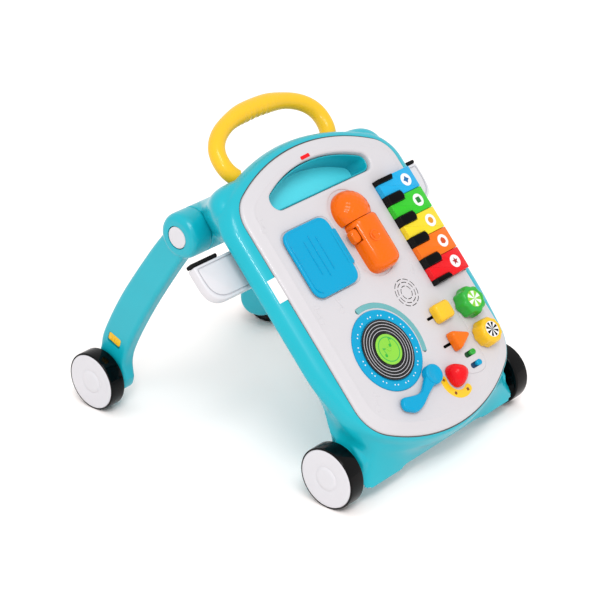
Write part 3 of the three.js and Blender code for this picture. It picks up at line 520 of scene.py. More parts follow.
def front_frame():
    """Rail, feet, bosses, shoulders and hubs in one moulding, with its pocket and the room for the legs."""
    parts = [(loft([rail_ring(n, share) for n, share in spline(RAIL, 4)]), PANEL)]
    cutters = [(loft([outline_ring(n, 1.5) for n in (POCKET_FLOOR, 6)]), PANEL),
               (block(-118, 118, 60, 285, -64, -60.4, 14), PANEL),
               (block(-112, 112, 66, 279, -61, -57.5, 8), PANEL)]
    for _, sign in SIDES:
        foot = in_side(foot_outline(), sign, 120, 162, 6)
        boss = along_x([(16, 122), (19, 125), (19, 167), (16, 170.5)], sign, 0, 44.4)
        hub = along_x([(30, 64), (33, 67), (33, 134), (32, 135.7)], sign, *HUB)
        parts += [(shoulder(sign), PANEL), (foot, CHASSIS), (boss, CHASSIS), (hub, CHASSIS)]
        clearance = along_x([(34.2, HUB_SEAM), (34.2, 190)], sign, *HUB)
        notch = block(*sorted((sign * 129, sign * 214)), 240, 313, -90, -48.8, 2)
        cutters += [(notch, PANEL), (clearance, CHASSIS)]
    return weld("frame_body", parts, 2.0, 9, cutters)


def handle_point(t):
    """The handle's centre line at an angle: an oval with square shoulders."""
    h = HANDLE
    return Vector((h["half_u"] * bend(math.cos(t), 2 / h["power"]),
                   h["v"] + h["half_v"] * bend(math.sin(t), 2 / h["power"])))


def handle():
    """A bent tube, thicker over the grip and ribbed under it."""
    h, sides, steps = HANDLE, 40, 220
    end = math.radians(h["end"])
    rings = []
    for i in range(steps + 1):
        t = mix(end, math.pi - end, i / steps)
        centre, along = handle_point(t), (handle_point(t + 0.01) - handle_point(t - 0.01)).normalized()
        thick = mix(h["radius"], h["grip"], 1 - step(abs(centre.x), 22, 62))
        ribs = (1 - step(abs(centre.x + 6), 22, 36)) * math.cos(centre.x * math.tau / h["rib_pitch"])
        ring = []
        for a in turns(sides):
            radius = thick + h["rib"] * ribs * max(0, -math.cos(a)) ** 0.7
            out = radius * math.cos(a)
            ring.append((centre.x + along.y * out, centre.y - along.x * out, h["n"] + radius * math.sin(a)))
        rings.append(ring)
    return loft(rings)


def carry_outline(grow=0.0):
    """The carry opening: a flat lower edge, an arch over it and round corners."""
    c = CARRY
    r = c["corner"] + grow
    arch_v = c["v"] - math.sqrt((c["arch"] - c["corner"]) ** 2 - c["u"] ** 2)
    lean = math.degrees(math.atan2(c["v"] - arch_v, c["u"]))
    low = [(mix(-c["u"], c["u"], i / 24), c["v"] - r) for i in range(1, 24)]
    return (low + arc(c["u"], c["v"], r, -90, lean, 12)
            + arc(0, arch_v, c["arch"] + grow, lean, 180 - lean, 28)[1:-1]
            + arc(-c["u"], c["v"], r, 180 - lean, 270, 12))


def gasket():
    """The black strip down in the gap between the station and the frame: painted shade for the seam."""
    rows = ((0.25, -12.5), (1.4, -12.5), (1.4, -7.6), (0.25, -7.6))
    return loft([outline_ring(n, out) for out, n in rows], joined=True)


def collar():
    """The wall that stands on the pocket's floor and lines the station's carry opening."""
    rows = ((1, -44), (1, -8), (1.5, -7), (2.2, -6.6), (2.8, -7), (3.2, -8), (3.2, -44))
    return loft([[(u, v, n) for u, v in carry_outline(-inset)] for inset, n in rows], joined=True)


# A black strip in the seam between station and frame: painted shade.
piece("gasket", gasket(), "frame", "dark")
piece("frame_body", front_frame(), "frame", ["teal", "teal_painted_light"], ["front_frame"])
piece("opening_collar", collar(), "frame", "teal")
piece("handle", handle(), "frame", "yellow", ["push_handle"])


# ---- wheels
def wheel_cap(sign, y):
    """The white disc with its boss and lip, and the plug behind it."""
    w = WHEEL
    face = [(0, 0.3), (11, 0.3), (14.5, 0.5), (16.2, 1), (17.2, 1.9), (18.4, 2), (20, 1.6), (23, 1.2),
            (28, 1.1), (36, 1.1), (39.5, 0.7), (40.8, 0.9), (w["cap"] - 0.4, 1.7), (w["cap"], 2.6),
            (w["cap"], 4.4), (w["seat"], 4.4)]
    plug = [(w["seat"], 4), (11, 4), (11, 2), (10, 1), (5, 1)]
    profile = [(r, w["outer"] - drop) for r, drop in face] + [(r, w["inner"] + rise) for r, rise in plug]
    return along_x(profile, sign, y, w["radius"], 96)


def tyre(sign, y):
    """The tread with both shoulders rounded and a shallow web on the inner side."""
    w = WHEEL
    low, high, r = w["inner"], w["outer"], w["radius"]
    web = [(12, low + 3.4), (12, low + 2.6), (16, low + 1.2), (24, low + 2.4), (34, low + 2.2),
           (38, low + 0.6), (r - 3, low)]
    edge = [(r - 3 * a, low + 3 * b) for a, b in quarter(5)]
    rim = [(r - 2 * a, high - 1.2 - 2.4 * b) for a, b in quarter(5)]
    cup = [(w["cap"] + 0.3, high - 1.4), (w["cap"] + 0.3, high - 4.8), (w["seat"] + 0.3, high - 4.8),
           (w["seat"] + 0.3, low + 3.4)]
    return along_x(web + edge[::-1][1:] + rim + cup, sign, y, r, 96)


def add_wheel(name, body, sign, y):
    piece(f"{name}_cap", wheel_cap(sign, y), body, "white", [f"{name}_wheel"], CHASSIS)
    piece(f"{name}_tread", tyre(sign, y), body, "tyre", [f"{name}_tyre"], CHASSIS)


# ---- rear legs
LEG_FRONT = [(411, 46), (411, 74), (396, 108), (355, 172), (306, 239), (272, 282)]
LEG_BACK = [(474, 60), (460, 87), (448, 120), (405, 189), (341, 272), (306, 312)]
ANKLE = 24


def leg_outline():
    """The rear leg from the side: round the ankle, up the back and down the front."""
    ankle = arc(WHEELBASE, WHEEL["radius"], ANKLE, -90, 25, 12)
    toe = spline([LEG_FRONT[0], (417, 31), (434, 22.5), (WHEELBASE, WHEEL["radius"] - ANKLE)], 4)[1:-1]
    return ankle + spline(LEG_BACK, 6)[1:] + spline(LEG_FRONT, 6)[::-1] + toe


def rear_leg(side, sign):
    """The leg with its hub, a recess for the lock button and a slot for the drag switch."""
    plate = in_side(leg_outline(), sign, 146, 170, 6.5)
    barrel = along_x([(31.4, 136.4), (32.7, 137.2), (33, 139), (33, 160), (32.2, 165), (29.5, 169.5),
                      (25, 171.8), (17, 172)], sign, *HUB)
    recess = along_x([(17, 148), (17, 180)], sign, *HUB)
    slot = in_side(rect(-12.6, 12.6, -11, 7, 3.2), sign, 163, 180, 0.1)
    return weld(f"leg_{side}_body", [(plate, CHASSIS), (barrel, CHASSIS)], 1.7, 8,
                [(recess, CHASSIS), (slot, DRAG)])


def lock_button(sign):
    profile = [(15.6, -18), (16, -16), (16, -2), (15.6, -0.6), (14.6, 0.1), (12, 0.3), (0, 0.5)]
    return along_x([(r, HUB_FACE + x) for r, x in profile], sign, *HUB)


def drag_switch(sign):
    """A rounded tile with three ridges for the thumb."""
    ridges = [in_side(rect(c - 0.8, c + 0.8, -4.5, 4.5, 0.7), sign, 169, 171, 0.5) for c in (-5, 0, 5)]
    return merged(in_side(rect(-12, 12, -6.5, 6.5, 3), sign, 164, 170.2, 0.9), *ridges)


def stand_outline(sign, inset):
    """The stand's face with a big lower corner, counter-clockwise on either side."""
    s = STAND
    low, high, inner, outer = s["low"] + inset, s["top"] - inset, s["inner"] + inset, s["outer"] - inset
    corner = spline([(outer - 39, low), (outer - 21, low + 1), (outer - 9, low + 6.5), (outer - 2, low + 17),
                     (outer, low + 32)], 5)
    points = [(inner, low)] + corner + arc(outer - 3, high - 3, 3, 0, 90, 5) + [(inner, high)]
    return [(sign * u, v) for u, v in points][::sign]


def stand_leg(sign):
    """A slab whose face is a panel with a groove round it: rings of (inset, n)."""
    back, front = STAND["back"], STAND["front"]
    rows = ((2, back), (0.6, back + 0.6), (0, back + 2), (0, front - 2.6), (0.5, front - 1.2),
            (1.4, front - 0.5), (3.6, front - 0.4), (4, front - 2.4), (5.2, front - 2.4), (5.6, front - 0.5),
            (6.4, front))
    return loft([[(u, v, n) for u, v in stand_outline(sign, inset)] for inset, n in rows])


for side, sign in SIDES:
    add_wheel(f"front_{side}", f"front_wheel_{side}", sign, 0)
    add_wheel(f"rear_{side}", f"rear_wheel_{side}", sign, WHEELBASE)
    piece(f"leg_{side}_body", rear_leg(side, sign), f"leg_{side}", "teal", [f"rear_leg_{side}"])
    piece(f"lock_{side}_cap", lock_button(sign), f"leg_lock_{side}", "white", [f"lock_button_{side}"],
          CHASSIS)
    piece(f"drag_{side}_tile", drag_switch(sign), f"drag_{side}", "yellow", [f"drag_switch_{side}"], DRAG)
    piece(f"stand_{side}_body", stand_leg(sign), f"stand_{side}", "white", [f"stand_leg_{side}"])


# ---- flat shapes on the station
def keys_v(index):
    return KEYS["v0"] + index * KEYS["pitch"]


def pill(u0, u1, v, radius):
    return rect(u0, u1, v - radius, v + radius, radius - 0.01, 8)


def tilted(points, u, v, turn=0):
    """An outline turned by degrees and moved to (u, v)."""
    c, s = math.cos(math.radians(turn)), math.sin(math.radians(turn))
    return [(u + c * x - s * y, v + s * x + c * y) for x, y in points]


def note_outline(u, v, size, turn):
    """One quaver: a round head at the foot of a stem with a flag."""
    shape = ([(1.9, 14.6), (1.9, 2.6)] + arc(0, 0, 3.2, 20, 340, 18)[1:-1]
             + [(3.1, -0.6), (3.1, 11), (7.6, 9.2), (8.6, 11), (3.1, 14.6)])
    return tilted([(size * x, size * y) for x, y in shape], u, v, turn)


def star(outer, inner, points):
    turns = [math.pi / 2 + math.pi * i / points for i in range(2 * points)]
    return [(r * math.cos(a), r * math.sin(a)) for r, a in zip((outer, inner) * points, turns)]


def grille():
    """Rings of bent slots over the speaker: (radius, slots in the ring)."""
    slots = []
    for radius, count in ((9.6, 6), (15.2, 8), (20, 10)):
        for i in range(count):
            start = 360 / count * i + 10
            slots.append(band(*SPEAKER, radius - 0.8, radius + 0.8, start, start + 0.68 * 360 / count, 14))
    return slots


# ---- station front shell
# The face's own edge, from its side wall inward: (inset, height).
EDGE_ROWS = [(0, -8), (0.4, -6), (1.3, -4.6), (2.8, -3.6), (5, -2.9), (8, -2.2), (11.5, -1.4), (14.5, -0.5),
             (16, 0.1), (17, 0.35), (18, 0.3), (19.2, 0.05), (20.2, 0)]
GROOVE = spline([(95, 99), (95.5, 60), (95, 20), (93.5, 4), (86, -5), (72, -7), (56, -3), (44, 7)], 6)


def inside_distance(points, outline):
    """Signed distance to a closed outline for each (u, v) row: negative inside."""
    a = np.array(outline)
    b = np.roll(a, -1, axis=0)
    p = np.asarray(points)[:, None, :]
    along = b - a
    length = np.maximum((along ** 2).sum(1), 1e-12)
    t = np.clip(((p - a) * along).sum(2) / length, 0, 1)
    near = np.sqrt((((p - a) - along * t[..., None]) ** 2).sum(2)).min(1)
    straddles = (a[:, 1] > p[..., 1]) != (b[:, 1] > p[..., 1])
    run = np.where(np.abs(along[:, 1]) < 1e-12, 1e-12, along[:, 1])
    crossing = p[..., 0] < a[:, 0] + (p[..., 1] - a[:, 1]) * along[:, 0] / run
    inside = (straddles & crossing).sum(1) % 2 == 1
    return np.where(inside, -near, near)


def on_face(points, faces):
    """The triangles whose middles lie inside the station's edge and outside its carry opening."""
    middles = np.array([[sum(points[i][axis] for i in face) / 3 for axis in (0, 1)] for face in faces])
    keep = (inside_distance(middles, EDGE) < 0) & (inside_distance(middles, carry_outline()) > 0)
    return [face for face, ok in zip(faces, keep) if ok]


def wells():
    """Everything sunk into or raised from the face: (outline, floor, lip radius, dark), where dark paints the
    floor black as shade.
    """
    k, p, m = KEYS, PAGE, MIC
    low, high, left, right = p["v0"] - 2.4, p["v1"] + 2.4, p["hinge"] - 4.8, p["u1"] + 9
    out = [(rect(k["u0"] - 1.5, k["u1"] + 1.6, k["v0"] - 1, keys_v(5) + 1, 2, 6), -10, 0.8, True),
           (rounded([(left, low), (right, low), (right, high), (left, high)], 20, 10), -1.2, 1.2, False),
           (circle(*TABLE, 59.4, 120), -4, 0.7, False),
           (band(*TABLE, 61.2, 69.6, -21.5, 99.5, 90), -3.4, 0.3, False),
           (rect(m["u"] - 36.5, m["u"] + 34.5, m["v0"] - 5, 308.5, 34, 14), -1.2, 1.2, False),
           (stroke(GROOVE, 0.8), -0.7, 0.6, False)]
    for u, v in SLIDERS.values():
        out.append((pill(u - SLIDER_TRAVEL - 3, u + 3, v, 2.6), -7, 0.5, True))
    for u, v in SWITCHES.values():
        out.append((pill(u - SWITCH_HALF, u + SWITCH_HALF, v, 4.5), -3.6, 0.5, False))
    out += [(slot, -3, 0.25, True) for slot in grille()]
    return out + [(note_outline(*note), 0.35, 0.3, False) for note in NOTES]


def well_rows(floor, lip):
    """(inset, height) loops over a well's edge: a rounded lip and a steep wall, or a small rise."""
    if floor > 0:
        return [(0, 0), (lip, floor)]
    lip = min(lip, -floor)
    rows = [(lip * (1 - b), -lip * a) for a, b in quarter(4)]
    return rows + ([(lip + 0.12, floor)] if -floor > lip + 0.01 else [])


def ring_edges(base, count):
    return [(base + i, base + (i + 1) % count) for i in range(count)]


def face_mesh():
    """The face of the station, triangulated round every well; also its rim's and opening's vertices."""
    points, heights, edges = [], [], []

    def loop(outline, height):
        base = len(points)
        points.extend(outline)
        heights.extend([height] * len(outline))
        edges.extend(ring_edges(base, len(outline)))
        return base

    for inset, height in EDGE_ROWS:
        loop([p[:2] for p in outline_ring(height, -inset)], height)
    for a, b in quarter(5):
        hole = loop(carry_outline(4 * b), -4 * a)
    sunk = wells()
    for outline, floor, lip, _ in sunk:
        for inset, height in well_rows(floor, lip):
            loop(offset(outline, -inset), height)
    grid = np.array([(u, v) for u in np.arange(-154, 156, 5.0) for v in np.arange(-46, 386, 5.0)])
    gap = np.sqrt(((grid[:, None] - np.array(points)[None]) ** 2).sum(2)).min(1)
    clear = (gap > 2.6) & (inside_distance(grid, EDGE[::4]) < -21)
    clear &= inside_distance(grid, carry_outline()) > 5
    floors = np.zeros(len(grid))
    for outline, floor, lip, _ in sunk:
        floors[inside_distance(grid, outline) < -lip] = floor
    points.extend((float(u), float(v)) for u, v in grid[clear])
    heights.extend(float(height) for height in floors[clear])
    verts, _, faces, origin, _, _ = delaunay_2d_cdt([Vector(p) for p in points], edges, [], 0, 1e-4)
    top = [(p.x, p.y, heights[o[0]] if o else 0.0) for p, o in zip(verts, origin)]
    where = {o: i for i, source in enumerate(origin) for o in source}
    borders = [[where[base + i] for i in range(count)]
               for base, count in ((0, len(OUTLINE)), (hole, len(carry_outline())))]
    return top, on_face(top, [tuple(face) for face in faces]), borders


def front_shell():
    """The face with its side walls and a flat back."""
    verts, faces, borders = face_mesh()
    base = len(verts)
    edges = []
    for border in borders:
        low = len(verts)
        verts += [(*verts[i][:2], STATION["split"]) for i in border]
        wall = ring_edges(0, len(border))
        faces += [(border[i], border[j], low + j, low + i) for i, j in wall]
        edges += ring_edges(low - base, len(border))
    flat = [Vector(p[:2]) for p in verts[base:]]
    _, _, back, origin, _, _ = delaunay_2d_cdt(flat, edges, [], 0, 1e-5)
    back = on_face(flat, [[origin[i][0] for i in face] for face in back])
    faces += [tuple(base + i for i in face) for face in back]
    return mesh_object("station_face", (verts, faces), PANEL, 38)


def second_look(obj, low, high, outlines):
    """Gives the faces between two heights, inside any of the outlines, the second material."""
    inverse = PANEL.inverted()
    centres = np.array([tuple(inverse @ (face.center / MM)) for face in obj.data.polygons])
    between = np.flatnonzero((centres[:, 2] > low) & (centres[:, 2] < high))
    inside = np.zeros(len(between), bool)
    for outline in outlines:
        inside |= inside_distance(centres[between, :2], outline) < 0.05
    for i in between[inside]:
        obj.data.polygons[int(i)].material_index = 1


face = piece("station_face", front_shell(), "station", ["shell", "dark"], ["station_front_shell"])
# The floors of the key well, the slider slots and the grille slots are painted black as shade.
second_look(face, STATION["split"] + 1, -0.45, [outline for outline, _, _, dark in wells() if dark])
# The pocket's floor gets the paler teal: painted light.
second_look(bpy.data.objects["frame_body"], POCKET_FLOOR - 0.3, POCKET_FLOOR + 0.3, [EDGE[::8]])


# ---- piano keys
KEY_LOOKS = {"red": ("red", "print_red"), "orange": ("orange", "print_orange"),
             "yellow": ("key_yellow", "print_amber"), "green": ("key_green", "print_green"),
             "blue": ("key_blue", "print_blue")}


def colour_key(index):
    """A key that is narrow between the black ones and wide in front of them."""
    k = KEYS
    v0, v1 = keys_v(index) + 0.3, keys_v(index + 1) - 0.3
    notch = k["width"] / 2 + 0.1
    u = k["u0"] + k["black"] + 0.6
    corners = [(k["u0"], v0 + notch), (u, v0 + notch), (u, v0), (k["u1"], v0), (k["u1"], v1), (u, v1),
               (u, v1 - notch), (k["u0"], v1 - notch)]
    top = k["top"]
    rows = [(0, k["bottom"]), (0, top - 1), (-0.15, top - 0.5), (-0.4, top - 0.2), (-0.9, top)]
    return pillow(rounded(corners, 0.9, 3), rows)


def black_keys():
    """Six black keys on one bar; the first and the last are half keys."""
    k = KEYS
    u0, u1, first, last, top = k["u0"], k["u0"] + k["black"], k["v0"], keys_v(5), k["top"] + 3
    rows = [(0, -13), (0, top - 1.6), (-0.3, top - 0.8), (-0.9, top - 0.25), (-1.8, top)]
    blocks = [block(u0, u1 - 4, first, last, -16, -11)]
    for v in (keys_v(i) for i in range(6)):
        v0, v1 = max(first, v - k["width"] / 2), min(last, v + k["width"] / 2)
        low, high = 5.5 if v0 > first else 1, 5.5 if v1 < last else 1
        blocks.append(pillow([(u0, v1), (u0, v0)] + arc(u1 - low, v0 + low, low, -90, 0, 6)
                             + arc(u1 - high, v1 - high, high, 0, 90, 6), rows))
    return merged(*blocks)


shapes = (star(6, 2.6, 5), rounded(star(5.6, 4.9, 3), 1, 3), circle(0, 0, 4.8, 32),
          rect(-4.3, 4.3, -4.3, 4.3, 1.2), star(5.8, 3.4, 4))
for i, (shape, (colour, (plastic, ink))) in enumerate(zip(shapes, KEY_LOOKS.items())):
    body, u, v = f"{colour}_key", 135, keys_v(i) + KEYS["pitch"] / 2
    piece(f"{colour}_bar", colour_key(i), body, plastic, [f"key_{colour}"])
    piece(f"{colour}_disc", soft_slab(circle(u, v, 9.5), 8.7, 9.25, 0.1), body, "print_white")
    piece(f"{colour}_shape", soft_slab(tilted(shape, u, v), 9.1, 9.42, 0.08), body, ink)
piece("black_key_row", black_keys(), "station", "black", ["black_keys"])


# ---- flip page and microphone
def flip_page():
    """The page with a raised rim, a tab for the thumb and raised lines."""
    p = PAGE
    left = p["hinge"] - 2.3
    sheet = rounded([(left, p["v0"]), (p["u1"], p["v0"]), (p["u1"], p["v1"]), (left, p["v1"])], 19, 12)
    tab = rect(p["u1"] - 8, p["u1"] + 6, 207, 262, 3, 6)
    edge = [(-0.8, 1), (0, 1.8), (0, 3.8), (-0.35, 4.8), (-1, 5.6), (-2, 6)]
    rim = [(-3.2, 6), (-4, 5.7), (-4.6, 5.3), (-5.4, 5.2)]
    bead = stroke([(-118.5, 264)] + arc(-105, 203, 13.5, 180, 250, 10), 0.8)
    lines = [soft_slab(rect(u - 0.5, u + 0.5, v0, v1, 0.45, 3), 4.9, 6.1, 0.3)
             for u, v0, v1 in ((-94, 212, 262), (-82, 206, 268), (-70, 212, 262))]
    return merged(pillow(sheet, edge + rim), pillow(tab, [(out, n - 0.8) for out, n in edge]),
                  soft_slab(bead, 4.9, 6.2, 0.5), *lines)


def page_axle():
    """A rod along v under the page's hinge."""
    verts, faces = lathe([(1.2, 200), (1.2, 268)], (PAGE["hinge"], 3.6), 16)
    return [(u, v, n) for u, n, v in verts], faces


def half_ring(u, v, half, height, base, power, count=40):
    """A flat-bottomed section across the microphone."""
    upper = [(u + half * bend(math.cos(t), power), v, 0.4 + height * math.sin(t) ** power)
             for t in (math.pi * i / count for i in range(count + 1))]
    return upper + [(u - half, v, base), (u + half, v, base)]


def microphone_body():
    """The handle, which tapers at both ends, with a recess for its button."""
    m = MIC
    low, high = m["v0"], m["seam"]
    rows = spline([(low, 0.3), (low + 1, 0.52), (low + 3.5, 0.74), (low + 9, 0.94), (low + 20, 1),
                   (low + 50, 1), (high - 8, 1), (high - 3, 0.98), (high - 0.4, 0.92)], 5)
    body = loft([half_ring(m["u"] + 2.5, v, m["half"] * s, m["height"] * s, -1.6, 0.75) for v, s in rows])
    obj = mesh_object("microphone_grip", body, PANEL, 40)
    cut(obj, (block(m["u"] - 40, m["u"] - 16, 227.4, 248.6, 4.4, 16.6), PANEL))
    tidy(obj.data, 40)
    return obj


def microphone_head():
    """A dome covered in small dimples."""
    m, steps = MIC, 90
    low = math.asin((m["seam"] + 0.4 - m["head"]) / m["radius"])
    rings = []
    for i in range(steps + 1):
        a = mix(low, math.pi / 2, i / steps)
        v, half = m["head"] + m["radius"] * math.sin(a), max(m["radius"] * math.cos(a), 0.3)
        ring = half_ring(m["u"], v, half, 0.86 * half, -2.6, 1.0, 96)
        dimpled = [(u, v, n - 0.3 * math.sin(u / 1.5) * math.sin(v / 1.5) * step(n, 2, 5))
                   for u, v, n in ring[:-2]]
        rings.append(dimpled + ring[-2:])
    return loft(rings)


def microphone_icon():
    ring = lathe([(6.4, 23.6), (6.4, 25.6), (7, 26), (7.8, 26), (8.4, 25.6), (8.4, 23.6)], (9, 226), 48, True)
    return merged(ring, soft_slab(tilted([(-3, -3), (3, 0), (-3, 3)], 8.6, 226), 24, 25.9, 0.5))


piece("page_leaf", flip_page(), "page", "blue", ["flip_page"])
piece("page_axle", page_axle(), "station", "steel", ["page_pin"])
piece("microphone_grip", microphone_body(), "station", "mic", ["microphone_body"])
piece("microphone_dome", microphone_head(), "station", "mic", ["microphone_head"])
piece("microphone_icon", microphone_icon(), "station", "mic")
button = soft_slab(rect(-19.5, -5.5, 228, 248, 6, 8), 5, 16, 3.4)
piece("microphone_key", button, "mic_button", "mic", ["microphone_button"])


# ---- turntable and arm
RECORD_GROOVES = (41.4, 37, 32.6, 28.2)
PLATTER = [(0, -3.4), (57.8, -3.4), (58.6, -2.6), (58.6, 0.6), (58.2, 1.3), (57.4, 1.7), (56, 1.9), (55, 1.6),
           (45.2, 1.5), (44.6, 1.1), (44.2, 0.6), (0, 0.6)]
LABEL = [(0, 3), (21.8, 3), (22, 3.4), (22, 4), (21.6, 4.3), (4, 4.3), (3.4, 4.1), (2.8, 4.3), (2.6, 5),
         (1.8, 5.6), (0, 5.8)]


def platter_dots():
    """Sixteen pairs of dots round the platter's rim."""
    places = [arc(*TABLE, 50, i * 22.5 - 3.2, i * 22.5 + 3.2, 1) for i in range(16)]
    return merged(*(soft_slab(circle(*place, 1, 12), 1.3, 1.78, 0.1) for pair in places for place in pair))


def record():
    """A disc with a groove for each bead."""
    groove = ((0, 0), (0.3, 0.4), (1.3, 0.4), (1.6, 0))
    edge = [(0, 1.2), (43.2, 1.2), (43.5, 1.6), (43.5, 3), (43.1, 3.4)]
    grooves = [(r - width, 3.4 - depth) for r in RECORD_GROOVES for width, depth in groove]
    return lathe(edge + grooves + [(22.4, 3.2), (0, 3.2)], TABLE, 144)


def record_rings():
    """A bright bead in each groove of the record: painted highlight on the grooves."""
    return merged(*(lathe([(r - 1.25, 2.7), (r - 1.2, 3.3), (r - 0.5, 3.3), (r - 0.45, 2.7)], TABLE, 96, True)
                    for r in RECORD_GROOVES))


def label_print():
    """A ring and two notes on the record's label."""
    ring = lathe([(16.8, 4.2), (16.8, 4.42), (18.2, 4.42), (18.2, 4.2)], TABLE, 96, True)
    notes = [soft_slab(note_outline(TABLE[0] + x, TABLE[1] + y, 0.75, turn), 4.2, 4.42, 0.05)
             for x, y, turn in ((-10, -6, 10), (5, 4, -8))]
    return merged(ring, *notes)


def tone_arm():
    """A bent arm that widens to a paddle, under a round cap on a post."""
    ridge = spline([(-14, 12), (-26, 9), (-40, 3.5), (-50, -1.5), (-60, -6), (-71, -9), (-78.5, -8.5),
                    (-86.5, -4), (-92.3, 0), (-94.2, 5.5), (-92.5, 11.5), (-88.8, 15.5), (-83.5, 16.3),
                    (-72, 13.3), (-59, 11), (-49, 12.5), (-39, 19.5), (-27, 28), (-12, 31)], 4)
    edge = [(-0.6, 2.8), (0, 3.6), (0, 6.6), (-0.4, 8), (-1, 9.1), (-1.8, 9.8), (-2.4, 10), (-3.2, 10)]
    cap = lathe([(0, 0.5), (13.8, 0.5), (14.5, 1.2), (14.5, 9.4), (14, 10.8), (13, 11.7), (11.6, 12),
                 (10.4, 11.7), (9.6, 11.2), (0, 11.1)], ARM, 72)
    return merged(pillow(ridge[::-1], edge), cap, lathe([(3.5, -9), (3.5, 1)], ARM, 24))


piece("platter", lathe(PLATTER, TABLE, 144), "turntable", "blue", ["turntable_platter"])
piece("platter_dots", platter_dots(), "turntable", "print_white")
piece("record_disc", record(), "turntable", "record", ["record"])
# Painted highlights along the record's grooves.
piece("record_rings", record_rings(), "turntable", "ring")
piece("record_centre", lathe(LABEL, TABLE, 96), "turntable", "label", ["record_label"])
piece("record_print", label_print(), "turntable", "green")
piece("arm_body", tone_arm(), "arm", "blue", ["tone_arm"])


# ---- sliders, knobs and switches
# Half-sections: a slider's cap in (share of the outline, n), knobs in shares of outline and height.
CAP = [(0.95, 1), (1, 1.8), (1, 8.5), (0.97, 11.2), (0.91, 13.2), (0.82, 14.6), (0.7, 15.4), (0.5, 15.8),
       (0.25, 16), (0.01, 16)]
BLUNT = [(0.92, 0), (0.985, 0.05), (1, 0.14), (0.985, 0.45), (0.955, 0.72), (0.92, 0.85), (0.86, 0.94),
         (0.78, 0.985), (0.7, 1), (0.62, 0.985), (0.6, 0.96), (0.02, 0.96)]
DOMED = [(0.92, 0), (0.985, 0.06), (1, 0.15), (0.985, 0.3), (0.93, 0.48), (0.83, 0.65), (0.68, 0.8),
         (0.5, 0.91), (0.3, 0.98), (0.12, 1), (0.01, 1)]
KNOB_BASE, KNOB_HEIGHT = 0.5, 22
# Each knob: centre, radius, lobes and their depth, the face's radius, rays, and the looks of face and rays.
KNOBS = {"green": ((116, 84), 21.4, 8, 1.2, 12.6, 6, "label", "print_white"),
         "yellow": ((115, 35), 20, 10, 0.6, 11.8, 8, "print_white", "black")}
# The small shapes on the yellow crescent, each with its place in degrees.
MARKS = ((star(3.2, 1.5, 5), 166), (circle(0, 0, 2.4, 24), 230), (rect(-2.2, 2.2, -2.2, 2.2, 0.6, 4), 292))
RAIL_LABEL = [(0.5, -6.9), (2, -7), (4.5, -7.7), (7.2, -8.4), (10.5, -9.7), (13, -11.2)]


def scaled_loft(outline, u, v, rows):
    return loft([[(u + scale * x, v + scale * y, n) for x, y in outline] for scale, n in rows])


def slider(name, outline):
    """A cap that narrows to a domed top, on a stem that runs in the slot."""
    u, v = SLIDERS[name]
    return merged(scaled_loft(outline, u, v, CAP), lathe([(2.1, -6), (2.1, 2)], (u, v), 24))


def turn_knob(centre, radius, lobes, wave, profile):
    """A knob with soft lobes round it, on a post."""
    outline = []
    for t in turns(160):
        r = radius + wave * math.cos(lobes * t)
        outline.append((r * math.cos(t), r * math.sin(t)))
    rows = [(scale, mix(KNOB_BASE, KNOB_HEIGHT, share)) for scale, share in profile]
    return merged(scaled_loft(outline, *centre, rows), lathe([(4, -9), (4, 2)], centre, 24))


def rays(centre, radius, count, n):
    """Thin wedges round a centre."""
    starts = (360 * i / count for i in range(count))
    return merged(*(soft_slab([centre] + arc(*centre, radius, a, a + 180 / count, 5), n, n + 0.25, 0.05)
                    for a in starts))


def switch_nub(u, v):
    u1 = u + SWITCH_HALF - 0.4
    return pillow(pill(u1 - 11, u1, v, 4.1), [(0, -3.4), (0, 0.2), (-0.4, 0.9), (-1.2, 1.4), (-2.2, 1.6),
                                              (-3.8, 1.65)])


def rail_patch():
    """A thin label over the rounded lip of the left rail."""
    edge = -STATION["half"]
    section = ([(edge - out, n + 0.45) for out, n in RAIL_LABEL]
               + [(edge - out, n - 0.4) for out, n in RAIL_LABEL[::-1]])
    return loft([[(u, v, n) for u, n in section] for v in np.linspace(205, 239, 8)])


piece("square_cap", slider("square", rect(-16, 16, -13.5, 13.5, 6, 10)), "square_slider", "yellow",
      ["slider_square"])
triangle = rounded([(-13.4, -16.6), (22.5, 0), (-13.4, 16.6)], 9, 12)
piece("triangle_cap", slider("triangle", triangle), "triangle_slider", "orange", ["slider_triangle"])
top = mix(KNOB_BASE, KNOB_HEIGHT, BLUNT[-1][1])
for name, (centre, radius, lobes, wave, face_radius, count, ground, ink) in KNOBS.items():
    body = f"{name}_knob"
    piece(f"{name}_dial", turn_knob(centre, radius, lobes, wave, BLUNT), body, name, [f"knob_{name}"])
    disc = soft_slab(circle(*centre, face_radius, 64), top - 0.3, top + 0.15, 0.1)
    piece(f"{name}_face", disc, body, ground)
    piece(f"{name}_rays", rays(centre, face_radius - 1, count, top), body, ink)


piece("selector_body", turn_knob(SELECTOR, 16.4, 3, 1.3, DOMED), "selector", "red", ["selector_knob"])
crescent = soft_slab(band(*CRESCENT, 17.5, 29, 165, 300, 60), -0.2, 0.3, 0.1)
piece("selector_band", crescent, "station", "print_yellow")
marks = [soft_slab(tilted(shape, *arc(*CRESCENT, 23.2, angle, angle, 1)[0]), 0.15, 0.42, 0.08)
         for shape, angle in MARKS]
piece("selector_marks", merged(*marks), "station", "print_brown")


for name, colour in (("power", "green"), ("volume", "blue")):
    u, v = SWITCHES[name]
    piece(f"{name}_nub", switch_nub(u, v), f"{name}_slide", colour, [f"{name}_switch"])
    bed = soft_slab(pill(u - SWITCH_HALF + 0.4, u + SWITCH_HALF - 0.4, v, 3.9), -3.7, -3.45, 0.05)
    piece(f"{name}_bed", bed, "station", f"bed_{colour}")
piece("rail_label", rail_patch(), "frame", "print_white")
tag = soft_slab(tilted(rect(-9, 9, -2.6, 2.6, 1.1), -4, 368.6, 2), -0.5, 0.45, 0.15)
piece("arch_tag", tag, "station", "red")


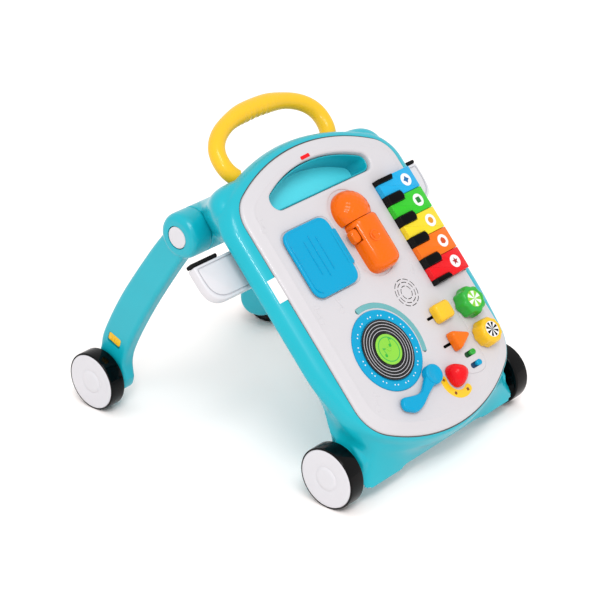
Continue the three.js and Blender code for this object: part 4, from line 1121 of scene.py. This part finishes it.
CAD_LOOKS = {
    "teal": "frame_back_cover",
    "shell": "station_back_shell battery_door",
    "steel": "front_axle rear_axle_left rear_axle_right leg_pivot_left leg_pivot_right stand_pin_left "
             "stand_pin_right battery_door_screw",
    "rubber": "stand_pad_left stand_pad_right",
    "board": "circuit_board",
    "cone": "speaker_driver",
    "window": "light_window",
}
for look, nodes in CAD_LOOKS.items():
    for node in nodes.split():
        mesh = bpy.data.objects[node].data
        mesh.materials.clear()
        mesh.materials.append(LOOKS[look])


# ---- camera, floor and light
def add_camera():
    data = bpy.data.cameras.new("camera")
    data.lens = 116.1
    data.clip_end = 20
    camera = placed("camera", data)
    matrix = Matrix.Translation(MM * Vector((-1854.45, -1461.36 - DEPTH_CENTRE, 1351.84)))
    for angle, axis in ((-47.91, "Z"), (90 - 25.31, "X"), (-2.1, "Z")):
        matrix = matrix @ Matrix.Rotation(math.radians(angle), 4, axis)
    camera.matrix_world = matrix
    bpy.context.scene.camera = camera


def add_light(data, place, target, power):
    data.energy = power
    light = placed(data.name, data)
    light.location = place
    light.rotation_euler = (Vector(target) - light.location).to_track_quat("-Z", "Y").to_euler()


def add_lights():
    """A broad soft sun, and a disc whose gleam shows on the caps and knobs."""
    sun = bpy.data.lights.new("sun", "SUN")
    sun.angle = math.radians(24)
    add_light(sun, (-0.55, -0.75, 1.35), (0, 0, 0), 1.1)
    window = bpy.data.lights.new("window", "AREA")
    window.shape = "DISK"
    window.size = 0.28
    add_light(window, (-1.5, -1.1, 1.5), (0, 0, 0.2), 7)


def add_floor():
    corners = [(-9e3, -9e3, 0), (9e3, -9e3, 0), (9e3, 9e3, 0), (-9e3, 9e3, 0)]
    floor = mesh_object("floor", (corners, [(0, 1, 2, 3)]), Matrix())
    floor.data.materials.append(material("pale floor", "fff9f7", 0.9, 0.0, coat=0, gloss_level=0, tone=1))


def add_world():
    world = bpy.data.worlds.new("studio")
    world.use_nodes = True
    background = world.node_tree.nodes["Background"]
    background.inputs["Color"].default_value = (1, 1, 1, 1)
    background.inputs["Strength"].default_value = 1.0
    bpy.context.scene.world = world


add_camera()
add_floor()
add_world()
add_lights()
bpy.context.scene.view_settings.view_transform = "Standard"
